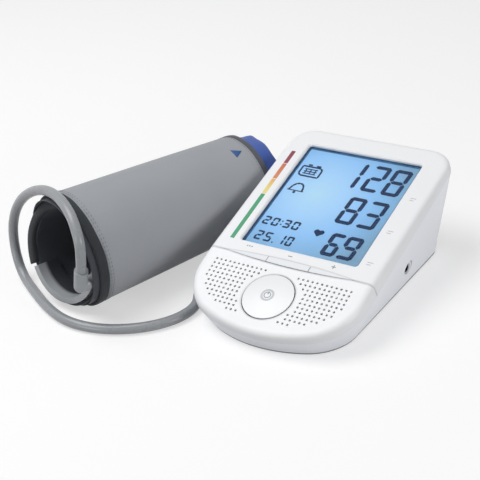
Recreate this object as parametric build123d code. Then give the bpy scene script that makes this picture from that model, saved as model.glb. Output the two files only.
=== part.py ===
"""Talking upper-arm blood pressure monitor with its rolled cuff and air hose.

Millimetres, +Z up. The origin is the middle of the monitor's flat underside, +Y points to the
rear of the case and +X to the user's right. The cuff lies on the same surface, to the left.
"""
import math
import os

from build123d import *

os.makedirs("parts", exist_ok=True)

# Case outline on the ground and at the waist, where the walls meet the top covers
base_half_width = 49.5
base_rear_y = 76.5
base_front_y = -76.5
base_rear_corner = 15.0
base_front_corner = 30.0
base_side_end_y = -42.5
case_half_width = 59.2
case_rear_y = 84.0
case_front_y = -81.5
case_rear_corner = 17.0
case_front_corner = 36.0
case_side_end_y = -43.0
waist_height = 35.0
waist_tilt = 17.2
case_wall = 2.2
cover_draft = 2.5
cover_block_height = 26.0
top_edge_radius = 4.2
seam_gap = 0.3
tongue_depth = 2.4
tongue_wall = 1.1
tongue_lean = 1.2
land_overlap = 0.5
land_height = 1.2
fit_gap = 0.25

# Top faces: the display face behind the key strip and the steeper speaker face in front of it
display_y = 21.5
display_height = 50.1
display_tilt = 15.9
speaker_tilt = 20.5
strip_distance = 57.7

# Display stack
window_side_margin = 17.2
window_width = 2 * (case_half_width - window_side_margin)
window_length = 93.5
window_corner = 2.0
window_bevel = 0.9
lens_margin = 2.5
lens_thickness = 1.2
glass_margin = 1.0
glass_thickness = 2.6
backlight_thickness = 3.0
frame_wall = 3.4
board_thickness = 1.6
main_board_length = 100.0
board_corner = 3.0
board_edge_margin = 2.7
board_post_gap = 0.75
board_post_spread = 40.0
board_post_radius = 2.4
board_screw_radius = 1.1
board_screw_head = 2.3
board_screw_head_height = 1.3
board_hole_gap = 0.2
board_screw_length = 5.0

# Key strip and start button
strip_side_margin = 14.0
strip_half_length = case_half_width - strip_side_margin
strip_half_height = 2.5
key_gap = 0.5
key_clearance = 0.35
key_proud = 0.5
key_travel = 0.7
key_stem_radius = 1.6
retainer_margin = 1.0
retainer_thickness = 1.0
button_distance = 26.0
button_radius = 16.35
button_clearance = 0.6
button_flange = 1.8
button_proud = 0.5
button_dome = 1.3
button_travel = 0.8
button_stem_radius = 3.2
switch_free_gap = 0.2
switch_size = 6.0
switch_height = 3.1
switch_plunger_radius = 1.5
switch_plunger_height = 0.5
switch_top_depth = 6.4
button_board_bar_margin = 0.8
button_board_bar_rear = 3.6
button_board_bar_front = 8.0
button_board_tail_width = 22.0
button_board_tail_end = 36.0
button_post_x = 15.0
button_post_distance = 5.6
button_post_radius = 1.9

# Speakers and their grilles
speaker_side_margin = 25.2
speaker_x = case_half_width - speaker_side_margin
speaker_distance = 25.0
speaker_radius = 14.0
speaker_rim = 1.2
speaker_basket_inset = 1.5
speaker_basket_margin = 1.0
speaker_basket_depth = 5.0
speaker_magnet_radius = 8.5
speaker_magnet_depth = 3.2
speaker_ring_wall = 1.2
speaker_ring_depth = 3.0
speaker_ring_gap = 0.2
grille_pitch = 3.3
grille_hole = 0.85
grille_sides = 8
grille_inner_radius = 20.0
grille_edge_margin = 8.0
grille_top_distance = 8.2
grille_centre_gap = 7.0

# Underside and battery compartment
base_plate_inset = 0.8
base_plate_thickness = 2.2
battery_radius = 7.25
battery_length = 50.5
battery_nub_radius = 2.75
battery_nub_length = 1.2
battery_count = 4
battery_pitch = 15.1
battery_clearance = 0.25
battery_box_wall = 1.6
battery_box_y = 40.0
battery_box_end_room = 7.6
battery_drop = 0.8
battery_edge = 0.6
divider_height = 1.6
divider_root = 0.2
contact_thickness = 0.4
contact_size = 11.0
spring_coil_radius = 3.4
spring_tip_radius = 2.0
spring_end_gap = 0.1
door_overlap = 1.2
door_gap = 0.3
door_thickness = 1.7
door_seat_gap = 0.2
door_hook_width = 8.0
door_hook_height = 1.4
door_hook_x = 20.0
door_latch_width = 16.0
door_latch_height = 2.2
door_slot_width = 1.2
door_slot_distance = 2.4
door_latch_shoulder = 2.0
door_rib_count = 5
door_rib_pitch = 1.6
door_rib_distance = 7.0
pad_radius = 5.0
pad_depth = 1.2
pad_seat_gap = 0.1
pad_side_margin = 11.5
pad_x = base_half_width - pad_side_margin
pad_rear_y = 66.0
pad_front_y = -56.0
boss_side_margin = 9.5
boss_x = base_half_width - boss_side_margin
boss_rear_y = 56.0
boss_front_y = -46.0
boss_radius = 3.6
boss_height = 9.0
boss_web = 2.0
case_screw_radius = 1.4
case_screw_head = 2.8
case_screw_head_height = 1.0
case_screw_seat = 1.12
case_screw_gap = 0.2
case_screw_length = 8.0
screw_thread_gap = 0.1

# Pneumatics
pump_y = -6.0
pump_axis_height = 15.6
pump_motor_radius = 12.0
pump_motor_start_x = -9.0
pump_motor_length = 38.0
pump_head_length = 24.0
pump_head_width = 25.0
pump_head_height = 21.0
pump_head_corner = 2.5
pump_flat = 1.7
pump_bearing_radius = 3.0
pump_bearing_length = 1.6
pump_nipple_radius = 2.0
pump_nipple_length = 3.0
saddle_width = 4.0
saddle_inset = 8.0
saddle_share = 0.85
saddle_height_share = 0.55
head_rest_length = 14.4
head_rest_width = 17.5
saddle_radial_gap = 0.2
manifold_x = -22.0
manifold_y = -29.0
manifold_size = 9.0
manifold_height = 13.2
manifold_corner = 1.5
manifold_post_radius = 3.0
tube_radius = 2.4
tube_bore = 1.4
tube_bend = 3.0
valve_x = 36.0
valve_radius = 5.5
valve_length = 16.0
valve_post_width = 8.0
valve_post_gap = 1.0
yoke_inset = 1.5
yoke_width = 12.0
yoke_height = 12.4
sensor_size = 9.0
sensor_height = 4.0
sensor_nipple_length = 2.5
sensor_side_margin = 18.2
sensor_x = sensor_side_margin - case_half_width
sensor_y = 14.0

# Sockets in the side walls
dc_y = 20.9
dc_height = 13.7
dc_bore = 2.9
dc_pin_radius = 0.8
dc_pin_length = 7.0
dc_pin_root = 0.5
dc_body_width = 9.0
dc_body_height = 10.0
dc_body_length = 12.0
dc_nose_radius = 4.0
dc_bore_depth = 9.0
dc_nose_step = 1.0
dc_dish_margin = 1.5
dc_shelf_length = 7.2
dc_shelf_width = 7.2
wall_hole_length = 24.0
dc_mouth_recess = 0.4
hose_socket_y = -22.0
hose_socket_height = 14.0
hose_socket_radius = 6.6
hose_socket_bore = 3.1
hose_socket_recess = 2.0
hose_socket_length = 13.2
hose_socket_edge = 0.8
hose_socket_air = 1.0
hose_socket_face_x = hose_socket_recess - case_half_width
hose_socket_inner_x = hose_socket_face_x + hose_socket_length
hose_nipple_radius = 2.0
hose_nipple_length = 4.0
hose_flange_setback = 3.4
hose_flange_margin = 1.8
hose_flange_width = 1.6

# Air hose and its plug
hose_radius = 3.3
hose_bore = 1.9
plug_nose_clearance = 0.06
plug_nose_length = 8.0
plug_body_radius = 5.6
plug_body_length = 9.0
plug_face_gap = 0.2
plug_arm_radius = 4.3
plug_arm_length = 15.0
plug_arm_drop = 4.0
plug_tip_length = 4.0
plug_tip_margin = 0.5
plug_body_edge = 2.0
plug_end_gap = 1.0

# Rolled cuff: its own frame runs along the roll from the rim nearest the user
cuff_start_distance = 39.0
cuff_start_y = -76.9
cuff_heading = 71.4
cuff_length = 134.0
cuff_near_radius = 39.7
cuff_far_radius = 34.6
wrap_pitch = 3.3
outer_half_turns = 2
inner_half_turns = 3
cover_thickness_outer = 2.2
cover_thickness_inner = 1.2
bladder_thickness = 0.9
lining_thickness = 0.8
inner_wrap_start = -8.7
inner_wrap_end = 114.0
inner_wrap_slope = 0.183
inner_wrap_rise = 0.244
inner_wrap_join = 4.0
lining_reach = 11.0
lining_lip = 0.8
binding_width = 6.0
rear_binding_width = 3.0
band_thickness = 2.0
band_start = 116.0
band_reach = 16.0
band_gap = 0.5
bladder_start = 12.0
bladder_hem = 8.0
layer_gap = 0.1
port_thickness = 4.0
port_proud = 3.0
port_length = 12.0
port_first_angle = 4.0
port_last_angle = 150.0
port_gap = 0.1
nozzle_radius = 4.4
nozzle_along = -16.5
nozzle_across = 29.2
nozzle_below = 7.9
nozzle_riser = 14.0
nozzle_lean = 20.0
nozzle_edge_gap = 0.3
hose_lead = 14.0
hose_plug_lead = 11.0

# Hose route, from the plug to the nozzle, in the object's own frame
hose_route_floor = (
    (-56.0, -58.0, 3.7),
    (-57.5, -73.0, 3.4),
    (-67.0, -88.0, 3.4),
    (-82.5, -100.0, 3.4),
    (-102.0, -107.5, 3.4),
    (-124.0, -108.5, 3.4),
    (-146.0, -101.0, 3.4),
    (-167.0, -90.0, 3.6),
)
# The arch, as distances along the roll, across it towards the monitor, and above the floor
hose_route_arch = (
    (-19.6, -51.4, 5.0),
    (-17.3, -63.3, 20.0),
    (-14.3, -64.6, 42.0),
    (-10.5, -53.3, 63.0),
    (-7.4, -30.6, 78.5),
    (-6.0, -5.4, 85.0),
    (-11.0, 27.0, 85.2),
    (-15.0, 41.7, 71.7),
)
# How much of each straight run the hose's bends may use, at either end
hose_bend_share = 0.45


def sine(degrees):
    return math.sin(math.radians(degrees))


def cosine(degrees):
    return math.cos(math.radians(degrees))


def tangent(degrees):
    return math.tan(math.radians(degrees))


def on_slope(origin_y, origin_z, tilt):
    """A plane that rises towards the rear: its own +Y runs up the slope."""
    return Plane(origin=(0, origin_y, origin_z), x_dir=(1, 0, 0), z_dir=(0, -sine(tilt), cosine(tilt)))


strip_y = display_y - strip_distance * cosine(display_tilt)
strip_height = display_height - strip_distance * sine(display_tilt)
strip_tilt = (display_tilt + speaker_tilt) / 2
display_face = on_slope(display_y, display_height, display_tilt)
speaker_face = on_slope(strip_y, strip_height, speaker_tilt)
strip_face = on_slope(strip_y, strip_height, strip_tilt)
waist = on_slope(0, waist_height, waist_tilt)
far = 150.0
on_floor = (Align.CENTER, Align.CENTER, Align.MIN)


def outline(half_width, rear_y, rear_r, side_end_y, corner_r, front_y, stretch=1.0):
    """The D shape of the case: square at the back, three tangent arcs at the front."""
    rear, side_end, front = rear_y * stretch, side_end_y * stretch, front_y * stretch
    reach = side_end - front
    across = half_width - corner_r
    front_r = (across ** 2 + reach ** 2 - corner_r ** 2) / (2 * (reach - corner_r))
    corner = Vector(across, side_end)
    middle = Vector(0, front + front_r)
    lean = math.atan2(corner.Y - middle.Y, corner.X - middle.X)
    touch = middle + Vector(math.cos(lean), math.sin(lean)) * front_r
    halfway = corner + Vector(math.cos(lean / 2), math.sin(lean / 2)) * corner_r
    diagonal = rear_r * (1 - math.sqrt(0.5))
    edges = [
        Line((-half_width, rear - rear_r), (-half_width, side_end)),
        ThreePointArc((-half_width, side_end), (-halfway.X, halfway.Y), (-touch.X, touch.Y)),
        ThreePointArc((-touch.X, touch.Y), (0, front), (touch.X, touch.Y)),
        ThreePointArc((touch.X, touch.Y), (halfway.X, halfway.Y), (half_width, side_end)),
        Line((half_width, side_end), (half_width, rear - rear_r)),
        ThreePointArc((half_width, rear - rear_r), (half_width - diagonal, rear - diagonal),
                      (half_width - rear_r, rear)),
        Line((half_width - rear_r, rear), (-half_width + rear_r, rear)),
        ThreePointArc((-half_width + rear_r, rear), (-half_width + diagonal, rear - diagonal),
                      (-half_width, rear - rear_r)),
    ]
    return Face(Wire(edges))


def base_outline(inset=0.0):
    return outline(base_half_width - inset, base_rear_y - inset, base_rear_corner - inset,
                   base_side_end_y, base_front_corner - inset, base_front_y + inset)


def waist_outline(inset=0.0):
    return outline(case_half_width - inset, case_rear_y - inset, case_rear_corner - inset,
                   case_side_end_y, case_front_corner - inset, case_front_y + inset,
                   1 / cosine(waist_tilt))


def between(lower, upper):
    return Solid.make_loft([lower.outer_wire(), upper.outer_wire()], ruled=True)


def under_top(depth=0.0):
    """Everything below the two top faces, each lowered by a depth square to itself."""
    rear_drop = depth / cosine(display_tilt)
    front_drop = depth / cosine(speaker_tilt)
    break_shift = (front_drop - rear_drop) / (tangent(speaker_tilt) - tangent(display_tilt))
    rear_z = display_height + (far - display_y) * tangent(display_tilt) - rear_drop
    front_z = strip_height - (far + strip_y) * tangent(speaker_tilt) - front_drop
    break_z = strip_height + break_shift * tangent(display_tilt) - rear_drop
    profile = Polyline((-far, front_z), (strip_y + break_shift, break_z), (far, rear_z),
                       (far, -far), (-far, -far), close=True)
    return extrude(Plane.YZ * make_face(profile), amount=far, both=True)


def cover_block(inset, depth):
    """The upper part of the case, from the waist to the top faces."""
    block = extrude(waist * waist_outline(inset), amount=cover_block_height, taper=cover_draft)
    return block & under_top(depth)


def round_top(block):
    """Rounds the rim where the top faces meet the side walls, but not the break between them."""
    rim = []
    counts = {}
    for face in block.faces():
        normal = face.normal_at()
        if normal.Z > cosine(speaker_tilt + 4) and abs(normal.X) < 0.01 and face.area > 1000:
            for edge in face.edges():
                middle = edge @ 0.5
                key = (round(middle.X, 2), round(middle.Y, 2), round(middle.Z, 2))
                counts[key] = counts.get(key, 0) + 1
                rim.append((key, edge))
    return fillet([edge for key, edge in rim if counts[key] == 1], top_edge_radius)


def lens_outline(margin=0.0):
    """The key strip: a slim shape between two long arcs."""
    half_length, half_height = strip_half_length + margin, strip_half_height + margin
    lower = ThreePointArc((-half_length, 0), (0, -half_height), (half_length, 0))
    upper = ThreePointArc((half_length, 0), (0, half_height), (-half_length, 0))
    return Face(Wire([lower, upper]))


def drilled(plane, x, y, radius, top, depth):
    """A round cutter square to a plane, from a height above it down to a depth below it."""
    disc = plane.offset(-depth) * Pos(x, y) * Circle(radius)
    return extrude(disc, amount=top + depth)


def slab(plane, outline_face, top_depth, thickness):
    """A flat piece below a plane whose upper face lies at a depth."""
    return extrude(plane.offset(-top_depth - thickness) * outline_face, amount=thickness)


def wall_x(y, z):
    """Half width of the tapered side wall at a height, behind the front corners."""
    waist_z = waist_height + y * tangent(waist_tilt)
    return base_half_width + (case_half_width - base_half_width) * z / waist_z


# Depths below the display face
lens_depth = case_wall
glass_depth = lens_depth + lens_thickness
backlight_depth = glass_depth + glass_thickness
main_board_depth = backlight_depth + backlight_thickness
frame_half_width = window_width / 2 + glass_margin + fit_gap + frame_wall
board_post_x = frame_half_width + board_post_gap + board_post_radius
main_board_width = 2 * (board_post_x + board_edge_margin)
frame_half_length = window_length / 2 + glass_margin + fit_gap + frame_wall
board_posts = [(x, y) for x in (-board_post_x, board_post_x)
               for y in (-board_post_spread, board_post_spread)]

# Depths below the speaker face
retainer_depth = case_wall + fit_gap
button_board_depth = switch_top_depth + switch_plunger_height + switch_height
button_posts = [(-button_post_x, -button_post_distance), (button_post_x, -button_post_distance)]
key_length = (2 * strip_half_length - 2 * key_gap) / 3
key_centres = {"key_left": -key_length - key_gap, "key_middle": 0.0, "key_right": key_length + key_gap}
boss_places = [(x, y) for x in (-boss_x, boss_x) for y in (boss_front_y, boss_rear_y)]
pad_places = [(x, y) for x in (-pad_x, pad_x) for y in (pad_front_y, pad_rear_y)]


def grille_points():
    """A square grid of holes round the button, inside the rounded front of the case."""
    inner = case_front_corner - grille_edge_margin
    corner_x = case_half_width - case_front_corner
    columns = int(case_half_width / grille_pitch) + 1
    rows = int((strip_y - case_front_y) / cosine(speaker_tilt) / grille_pitch) + 1
    points = []
    for row in range(rows):
        distance = grille_top_distance + row * grille_pitch
        y = strip_y - distance * cosine(speaker_tilt)
        for column in range(columns):
            x = grille_centre_gap / 2 + (column + 0.5) * grille_pitch
            if math.hypot(x, distance - button_distance) < grille_inner_radius:
                continue
            if x > case_half_width - grille_edge_margin or y < case_front_y + grille_edge_margin:
                continue
            past_corner = x > corner_x and y < case_side_end_y
            if past_corner and math.hypot(x - corner_x, y - case_side_end_y) > inner:
                continue
            points += [(x, -distance), (-x, -distance)]
    return points


def make_covers():
    """The display cover and the speaker cover, cut from one shell along the key strip."""
    outer = round_top(cover_block(0.0, 0.0))
    inner = extrude(waist * waist_outline(case_wall), amount=cover_block_height, taper=cover_draft)
    inner = inner + extrude(waist * waist_outline(case_wall), amount=-1)
    shell = outer - (inner & under_top(case_wall))
    tongue_low = waist.offset(-tongue_depth)
    tongue_outer = case_wall + fit_gap
    tongue = between(tongue_low * waist_outline(tongue_outer + tongue_lean),
                     waist * waist_outline(tongue_outer))
    hollow = between(tongue_low * waist_outline(tongue_outer + tongue_lean + tongue_wall),
                     waist * waist_outline(tongue_outer + tongue_wall))
    land_top = waist.offset(land_height)
    land = between(waist * waist_outline(case_wall - land_overlap),
                   land_top * waist_outline(case_wall - land_overlap))
    land_hollow = between(waist * waist_outline(tongue_outer + tongue_wall),
                          land_top * waist_outline(tongue_outer + tongue_wall))
    shell = shell + (tongue - hollow) + (land - land_hollow)
    keys = extrude(strip_face * lens_outline(), amount=far / 10, both=True)
    shell = shell - keys
    seam = Plane(origin=strip_face.origin, x_dir=(1, 0, 0), z_dir=strip_face.y_dir)
    display = split(shell, bisect_by=seam.offset(seam_gap / 2), keep=Keep.TOP)
    speaker = split(shell, bisect_by=seam.offset(-seam_gap / 2), keep=Keep.BOTTOM)

    opening = extrude(display_face * RectangleRounded(window_width, window_length, window_corner),
                      amount=case_wall * 3, both=True)
    low = display_face.offset(-window_bevel) * RectangleRounded(window_width, window_length, window_corner)
    spread = 2 * window_bevel
    high = display_face.offset(0.01) * RectangleRounded(window_width + spread, window_length + spread,
                                                        window_corner + window_bevel)
    display = display - opening - loft([low.face(), high.face()])
    for x, y in board_posts:
        post = extrude(display_face.offset(-main_board_depth) * Pos(x, y) * Circle(board_post_radius),
                       amount=main_board_depth - case_wall / 2)
        display = display + post - drilled(display_face, x, y, board_screw_radius, -case_wall,
                                           main_board_depth + 1)

    for x in (-speaker_x, speaker_x):
        centre = Pos(x, -speaker_distance)
        ring_inner = speaker_radius + speaker_ring_gap
        ring = Circle(ring_inner + speaker_ring_wall) - Circle(ring_inner)
        speaker = speaker + extrude(speaker_face.offset(-case_wall - speaker_ring_depth) * centre * ring,
                                    amount=speaker_ring_depth + case_wall / 2)
    for x, y in button_posts:
        post = extrude(speaker_face.offset(-button_board_depth) * Pos(x, y) * Circle(button_post_radius),
                       amount=button_board_depth - case_wall / 2)
        speaker = speaker + post - drilled(speaker_face, x, y, board_screw_radius, -case_wall,
                                           button_board_depth + 1)
    speaker = speaker - drilled(speaker_face, 0, -button_distance, button_radius + button_clearance,
                                2 * case_wall, 2 * case_wall)
    dot = RegularPolygon(grille_hole, grille_sides)
    dots = Sketch() + [Pos(x, y) * dot for x, y in grille_points()]
    speaker = speaker - extrude(speaker_face.offset(-case_wall - 1) * dots, amount=case_wall + 3)
    return display, speaker


def make_main_housing():
    """The white side wall: it leans out from the ground to the waist and is open top and bottom."""
    outer = between(base_outline(), waist * waist_outline())
    inner = between(Pos(0, 0, -0.01) * base_outline(case_wall),
                    waist.offset(0.01) * waist_outline(case_wall))
    step = extrude(base_outline(base_plate_inset - seam_gap), amount=base_plate_thickness + seam_gap)
    housing = outer - inner - step
    for x, y in boss_places:
        base_z = base_plate_thickness + seam_gap
        boss = Pos(x, y, base_z) * Cylinder(boss_radius, boss_height, align=on_floor)
        side = math.copysign(1, x)
        web_length = base_half_width - boss_x
        web = Box(web_length, boss_web, boss_height, align=on_floor)
        web = Pos(x + side * web_length / 2, y, base_z) * web
        housing = housing + ((boss + web) & outer)
        housing = housing - Pos(x, y, base_z) * Cylinder(case_screw_radius, case_screw_length,
                                                         align=on_floor)
    dc_hole = (Pos(base_half_width, dc_y, dc_height) * Rot(0, 90, 0)
               * Cylinder(dc_nose_radius + fit_gap, wall_hole_length))
    dc_dish = Pos(wall_x(dc_y, dc_height), dc_y, dc_height) * Sphere(dc_nose_radius + dc_dish_margin)
    hose_hole = (Pos(-base_half_width, hose_socket_y, hose_socket_height) * Rot(0, 90, 0)
                 * Cylinder(hose_socket_radius + fit_gap, wall_hole_length))
    dish_back = wall_x(dc_y, dc_height) - case_wall / 2
    dish_cut = dc_dish - Pos(dish_back - far / 2, dc_y, dc_height) * Box(far, far, far)
    return housing - dc_hole - dish_cut - hose_hole


def battery_box_size():
    width = battery_count * battery_pitch
    length = battery_length + battery_nub_length + battery_box_end_room
    height = base_plate_thickness + battery_drop + 2 * battery_radius + battery_clearance
    return width, length, height


def make_base_plate():
    """The grey underside with the battery compartment, pump saddles and screw holes."""
    width, length, height = battery_box_size()
    wall = battery_box_wall
    plate = extrude(base_outline(base_plate_inset), amount=base_plate_thickness)
    box = Pos(0, battery_box_y, 0) * Box(width + 2 * wall, length + 2 * wall, height + wall, align=on_floor)
    cavity = Pos(0, battery_box_y, -1) * Box(width, length, height + 1, align=on_floor)
    ledge = 2 * (door_overlap + door_gap)
    recess = Box(width + ledge, length + ledge, door_thickness + door_seat_gap + 1, align=on_floor)
    recess = Pos(0, battery_box_y, -1) * recess
    plate = plate + box - cavity - recess
    for side in range(1, battery_count):
        x = (side - battery_count / 2) * battery_pitch
        rib = Box(battery_pitch - 2 * battery_radius, length, divider_height + divider_root, align=on_floor)
        plate = plate + Pos(x, battery_box_y, height - divider_height) * rib
    for x in (pump_motor_start_x + saddle_inset, pump_motor_start_x + pump_motor_length - saddle_inset):
        saddle = Pos(x, pump_y, 0) * Box(saddle_width, 2 * pump_motor_radius * saddle_share,
                                         pump_axis_height * saddle_height_share, align=on_floor)
        round_seat = (Pos(x, pump_y, pump_axis_height) * Rot(0, 90, 0)
                      * Cylinder(pump_motor_radius + saddle_radial_gap, saddle_width + 2))
        plate = plate + (saddle - round_seat)
    head_x = pump_motor_start_x - pump_head_length / 2
    head_rest_height = pump_axis_height - pump_head_height / 2
    head_rest = Box(head_rest_length, head_rest_width, head_rest_height, align=on_floor)
    manifold_post = Cylinder(manifold_post_radius, manifold_height - manifold_size / 2, align=on_floor)
    valve_post_height = manifold_height - valve_radius - valve_post_gap
    valve_post = Box(valve_post_width, valve_post_width, valve_post_height, align=on_floor)
    plate = plate + Pos(head_x, pump_y, 0) * head_rest + Pos(manifold_x, manifold_y, 0) * manifold_post
    plate = plate + Pos(valve_x, manifold_y, 0) * valve_post
    for x, y in pad_places:
        plate = plate - Pos(x, y, -1) * Cylinder(pad_radius + pad_seat_gap, pad_depth + 1, align=on_floor)
    for x, y in boss_places:
        shank_hole = Cylinder(case_screw_radius + case_screw_gap, boss_height, align=on_floor)
        head_hole = Cylinder(case_screw_head + case_screw_gap, case_screw_seat + 1, align=on_floor)
        plate = plate - Pos(x, y, -1) * shank_hole - Pos(x, y, -1) * head_hole
    return plate


def make_battery_door():
    """The door under the cells: it turns on its front edge and has a finger latch at the rear."""
    width, length, height = battery_box_size()
    door = Box(width + 2 * door_overlap, length + 2 * door_overlap, door_thickness, align=on_floor)
    door = Pos(0, battery_box_y, 0) * door
    front = battery_box_y - length / 2
    rear = battery_box_y + length / 2
    wall = door_hook_height
    for x in (-door_hook_x, door_hook_x):
        hook = Box(door_hook_width, wall, door_thickness + door_hook_height, align=on_floor)
        door = door + Pos(x, front + door_gap + wall / 2, 0) * hook
    slot = Pos(0, rear - door_slot_distance, -1) * Box(door_latch_width, door_slot_width, door_thickness + 2,
                                                       align=on_floor)
    tongue = Box(door_latch_width - 2 * door_latch_shoulder, wall, door_thickness + door_latch_height,
                 align=on_floor)
    tongue = Pos(0, rear - door_gap - wall / 2, 0) * tongue
    door = door - slot + tongue
    for row in range(door_rib_count):
        y = rear - door_rib_distance - door_rib_pitch * row
        groove = Box(door_latch_width, door_rib_pitch / 2, door_thickness / 3 + 1, align=on_floor)
        door = door - Pos(0, y, -1) * groove
    return door


def make_battery(index):
    """One alkaline cell along Y; neighbours face opposite ways."""
    x = (index - (battery_count - 1) / 2) * battery_pitch
    z = base_plate_thickness + battery_drop + battery_radius
    forward = 1 if index % 2 == 0 else -1
    can = Cylinder(battery_radius, battery_length)
    can = chamfer(can.edges().filter_by(GeomType.CIRCLE), battery_edge)
    nub = Pos(0, 0, battery_length / 2) * Cylinder(battery_nub_radius, battery_nub_length,
                                                   align=on_floor)
    cell = Rot(-90 * forward, 0, 0) * (can + nub)
    return Pos(x, battery_box_y - forward * battery_nub_length / 2, z) * cell


def contact_places():
    """Each contact of the cells: its place, the side of the box that it is on, and whether it is sprung."""
    length = battery_box_size()[1]
    z = base_plate_thickness + battery_drop + battery_radius
    for index in range(battery_count):
        x = (index - (battery_count - 1) / 2) * battery_pitch
        forward = 1 if index % 2 == 0 else -1
        for side in (forward, -forward):
            y = battery_box_y + side * (length - contact_thickness) / 2
            yield Vector(x, y, z), side, side == -forward


def make_battery_contacts():
    plate = Box(contact_size, contact_thickness, contact_size)
    return Compound([Pos(place) * plate for place, side, sprung in contact_places()])


def make_battery_springs():
    """The sprung contacts, as the taper that a pressed coil fills."""
    springs = []
    for place, side, sprung in contact_places():
        if sprung:
            can_end = battery_box_y + side * (battery_length + battery_nub_length) / 2
            root = place.Y - side * contact_thickness / 2
            reach = abs(root - can_end) - spring_end_gap
            cone = Cone(spring_coil_radius, spring_tip_radius, reach)
            springs.append(Pos(place.X, root - side * reach / 2, place.Z) * Rot(90 * side, 0, 0) * cone)
    return Compound(springs)


def make_display_stack():
    """Window, glass, backlight, frame and board, stacked square to the display face."""
    lens_size = (window_width + 2 * lens_margin, window_length + 2 * lens_margin)
    lens = slab(display_face, RectangleRounded(*lens_size, window_corner), lens_depth, lens_thickness)
    glass_size = (window_width + 2 * glass_margin, window_length + 2 * glass_margin)
    glass = slab(display_face, Rectangle(*glass_size), glass_depth, glass_thickness)
    light = slab(display_face, Rectangle(*glass_size), backlight_depth, backlight_thickness)
    ring = (Rectangle(2 * frame_half_width, 2 * frame_half_length)
            - Rectangle(glass_size[0] + 2 * fit_gap, glass_size[1] + 2 * fit_gap))
    frame_top = lens_depth + lens_thickness
    frame = extrude(display_face.offset(-main_board_depth) * ring, amount=main_board_depth - frame_top)
    board = slab(display_face, RectangleRounded(main_board_width, main_board_length, board_corner),
                 main_board_depth, board_thickness)
    for x, y in board_posts:
        board = board - drilled(display_face, x, y, board_screw_radius + board_hole_gap, 0,
                                main_board_depth + 2 * board_thickness)
    return lens, glass, light, frame, board


def make_button_board():
    bar_length = button_board_bar_rear + button_board_bar_front
    bar_width = 2 * (strip_half_length + button_board_bar_margin)
    bar = Pos(0, (button_board_bar_rear - button_board_bar_front) / 2) * Rectangle(bar_width, bar_length)
    tail = Pos(0, -button_board_tail_end / 2) * Rectangle(button_board_tail_width, button_board_tail_end)
    board = extrude(speaker_face.offset(-button_board_depth - board_thickness) * (bar + tail),
                    amount=board_thickness)
    for x, y in button_posts:
        board = board - drilled(speaker_face, x, y, board_screw_radius + board_hole_gap, 0,
                                button_board_depth + 2 * board_thickness)
    return board


def make_switches():
    """Four click switches on the button board: one under each key and one under the start button."""
    places = [(x, 0.0) for x in key_centres.values()] + [(0.0, -button_distance)]
    switches = []
    for x, y in places:
        base = speaker_face.offset(-button_board_depth) * Pos(x, y) * Rectangle(switch_size, switch_size)
        body = extrude(base, amount=switch_height)
        cap = extrude(speaker_face.offset(-button_board_depth + switch_height) * Pos(x, y)
                      * Circle(switch_plunger_radius), amount=switch_plunger_height)
        switches.append(body + cap)
    return Compound(switches)


def make_board_screws():
    """Cross-head screws that hold both boards to the covers' posts."""
    screws = []
    for plane, places, depth in ((display_face, board_posts, main_board_depth),
                                 (speaker_face, button_posts, button_board_depth)):
        for x, y in places:
            under = plane.offset(-depth - board_thickness)
            head = extrude(under * Pos(x, y) * Circle(board_screw_head), amount=-board_screw_head_height)
            shank = extrude(under * Pos(x, y) * Circle(board_screw_radius - screw_thread_gap),
                            amount=board_screw_length)
            screws.append(head + shank)
    return Compound(screws)


def make_key(centre):
    """A key cap: the visible slice of the strip, a retaining flange and a stem to its switch."""
    slice_face = (Pos(centre, 0) * Rectangle(key_length, 4 * strip_half_height)).face()
    cap_face = lens_outline(-key_clearance) & slice_face
    cap = extrude(strip_face.offset(-retainer_depth) * cap_face, amount=retainer_depth + key_proud)
    flange_face = lens_outline(retainer_margin) & slice_face
    flange = extrude(strip_face.offset(-retainer_depth - retainer_thickness) * flange_face,
                     amount=retainer_thickness)
    stem_depth = switch_top_depth - switch_free_gap - key_travel
    stem = extrude(strip_face.offset(-stem_depth) * Pos(centre, 0) * Circle(key_stem_radius),
                   amount=stem_depth - retainer_depth)
    return cap + flange + stem


def make_start_button():
    """The round domed button with a flange below the cover and a stem to its switch."""
    centre = Pos(0, -button_distance)
    top = button_proud + button_dome
    dome_radius = (button_radius ** 2 + button_dome ** 2) / (2 * button_dome)
    cap = extrude(speaker_face.offset(-retainer_depth) * centre * Circle(button_radius),
                  amount=retainer_depth + top)
    middle = speaker_face.from_local_coords(Vector(0, -button_distance, top - dome_radius))
    cap = cap & Pos(middle.X, middle.Y, middle.Z) * Sphere(dome_radius)
    flange = extrude(speaker_face.offset(-retainer_depth - retainer_thickness) * centre
                     * Circle(button_radius + button_flange), amount=retainer_thickness)
    stem_depth = switch_top_depth - switch_free_gap - button_travel
    stem = extrude(speaker_face.offset(-stem_depth) * centre * Circle(button_stem_radius),
                   amount=stem_depth - retainer_depth)
    return cap + flange + stem


def make_speaker(x):
    """A round speaker: rim, tapered basket and magnet, hung under the grille."""
    centre = Pos(x, -speaker_distance)
    under_rim = speaker_face.offset(-case_wall - speaker_rim)
    rim = extrude(under_rim * centre * Circle(speaker_radius), amount=speaker_rim)
    wide = under_rim * centre * Circle(speaker_radius - speaker_basket_inset)
    narrow = (speaker_face.offset(-case_wall - speaker_basket_depth) * centre
              * Circle(speaker_magnet_radius + speaker_basket_margin))
    basket = loft([wide.face(), narrow.face()])
    magnet = extrude(speaker_face.offset(-case_wall - speaker_basket_depth - speaker_magnet_depth) * centre
                     * Circle(speaker_magnet_radius), amount=speaker_magnet_depth)
    return rim + basket + magnet


def make_pads():
    return Compound([Pos(x, y, 0) * Cylinder(pad_radius, pad_depth, align=on_floor) for x, y in pad_places])


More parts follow.
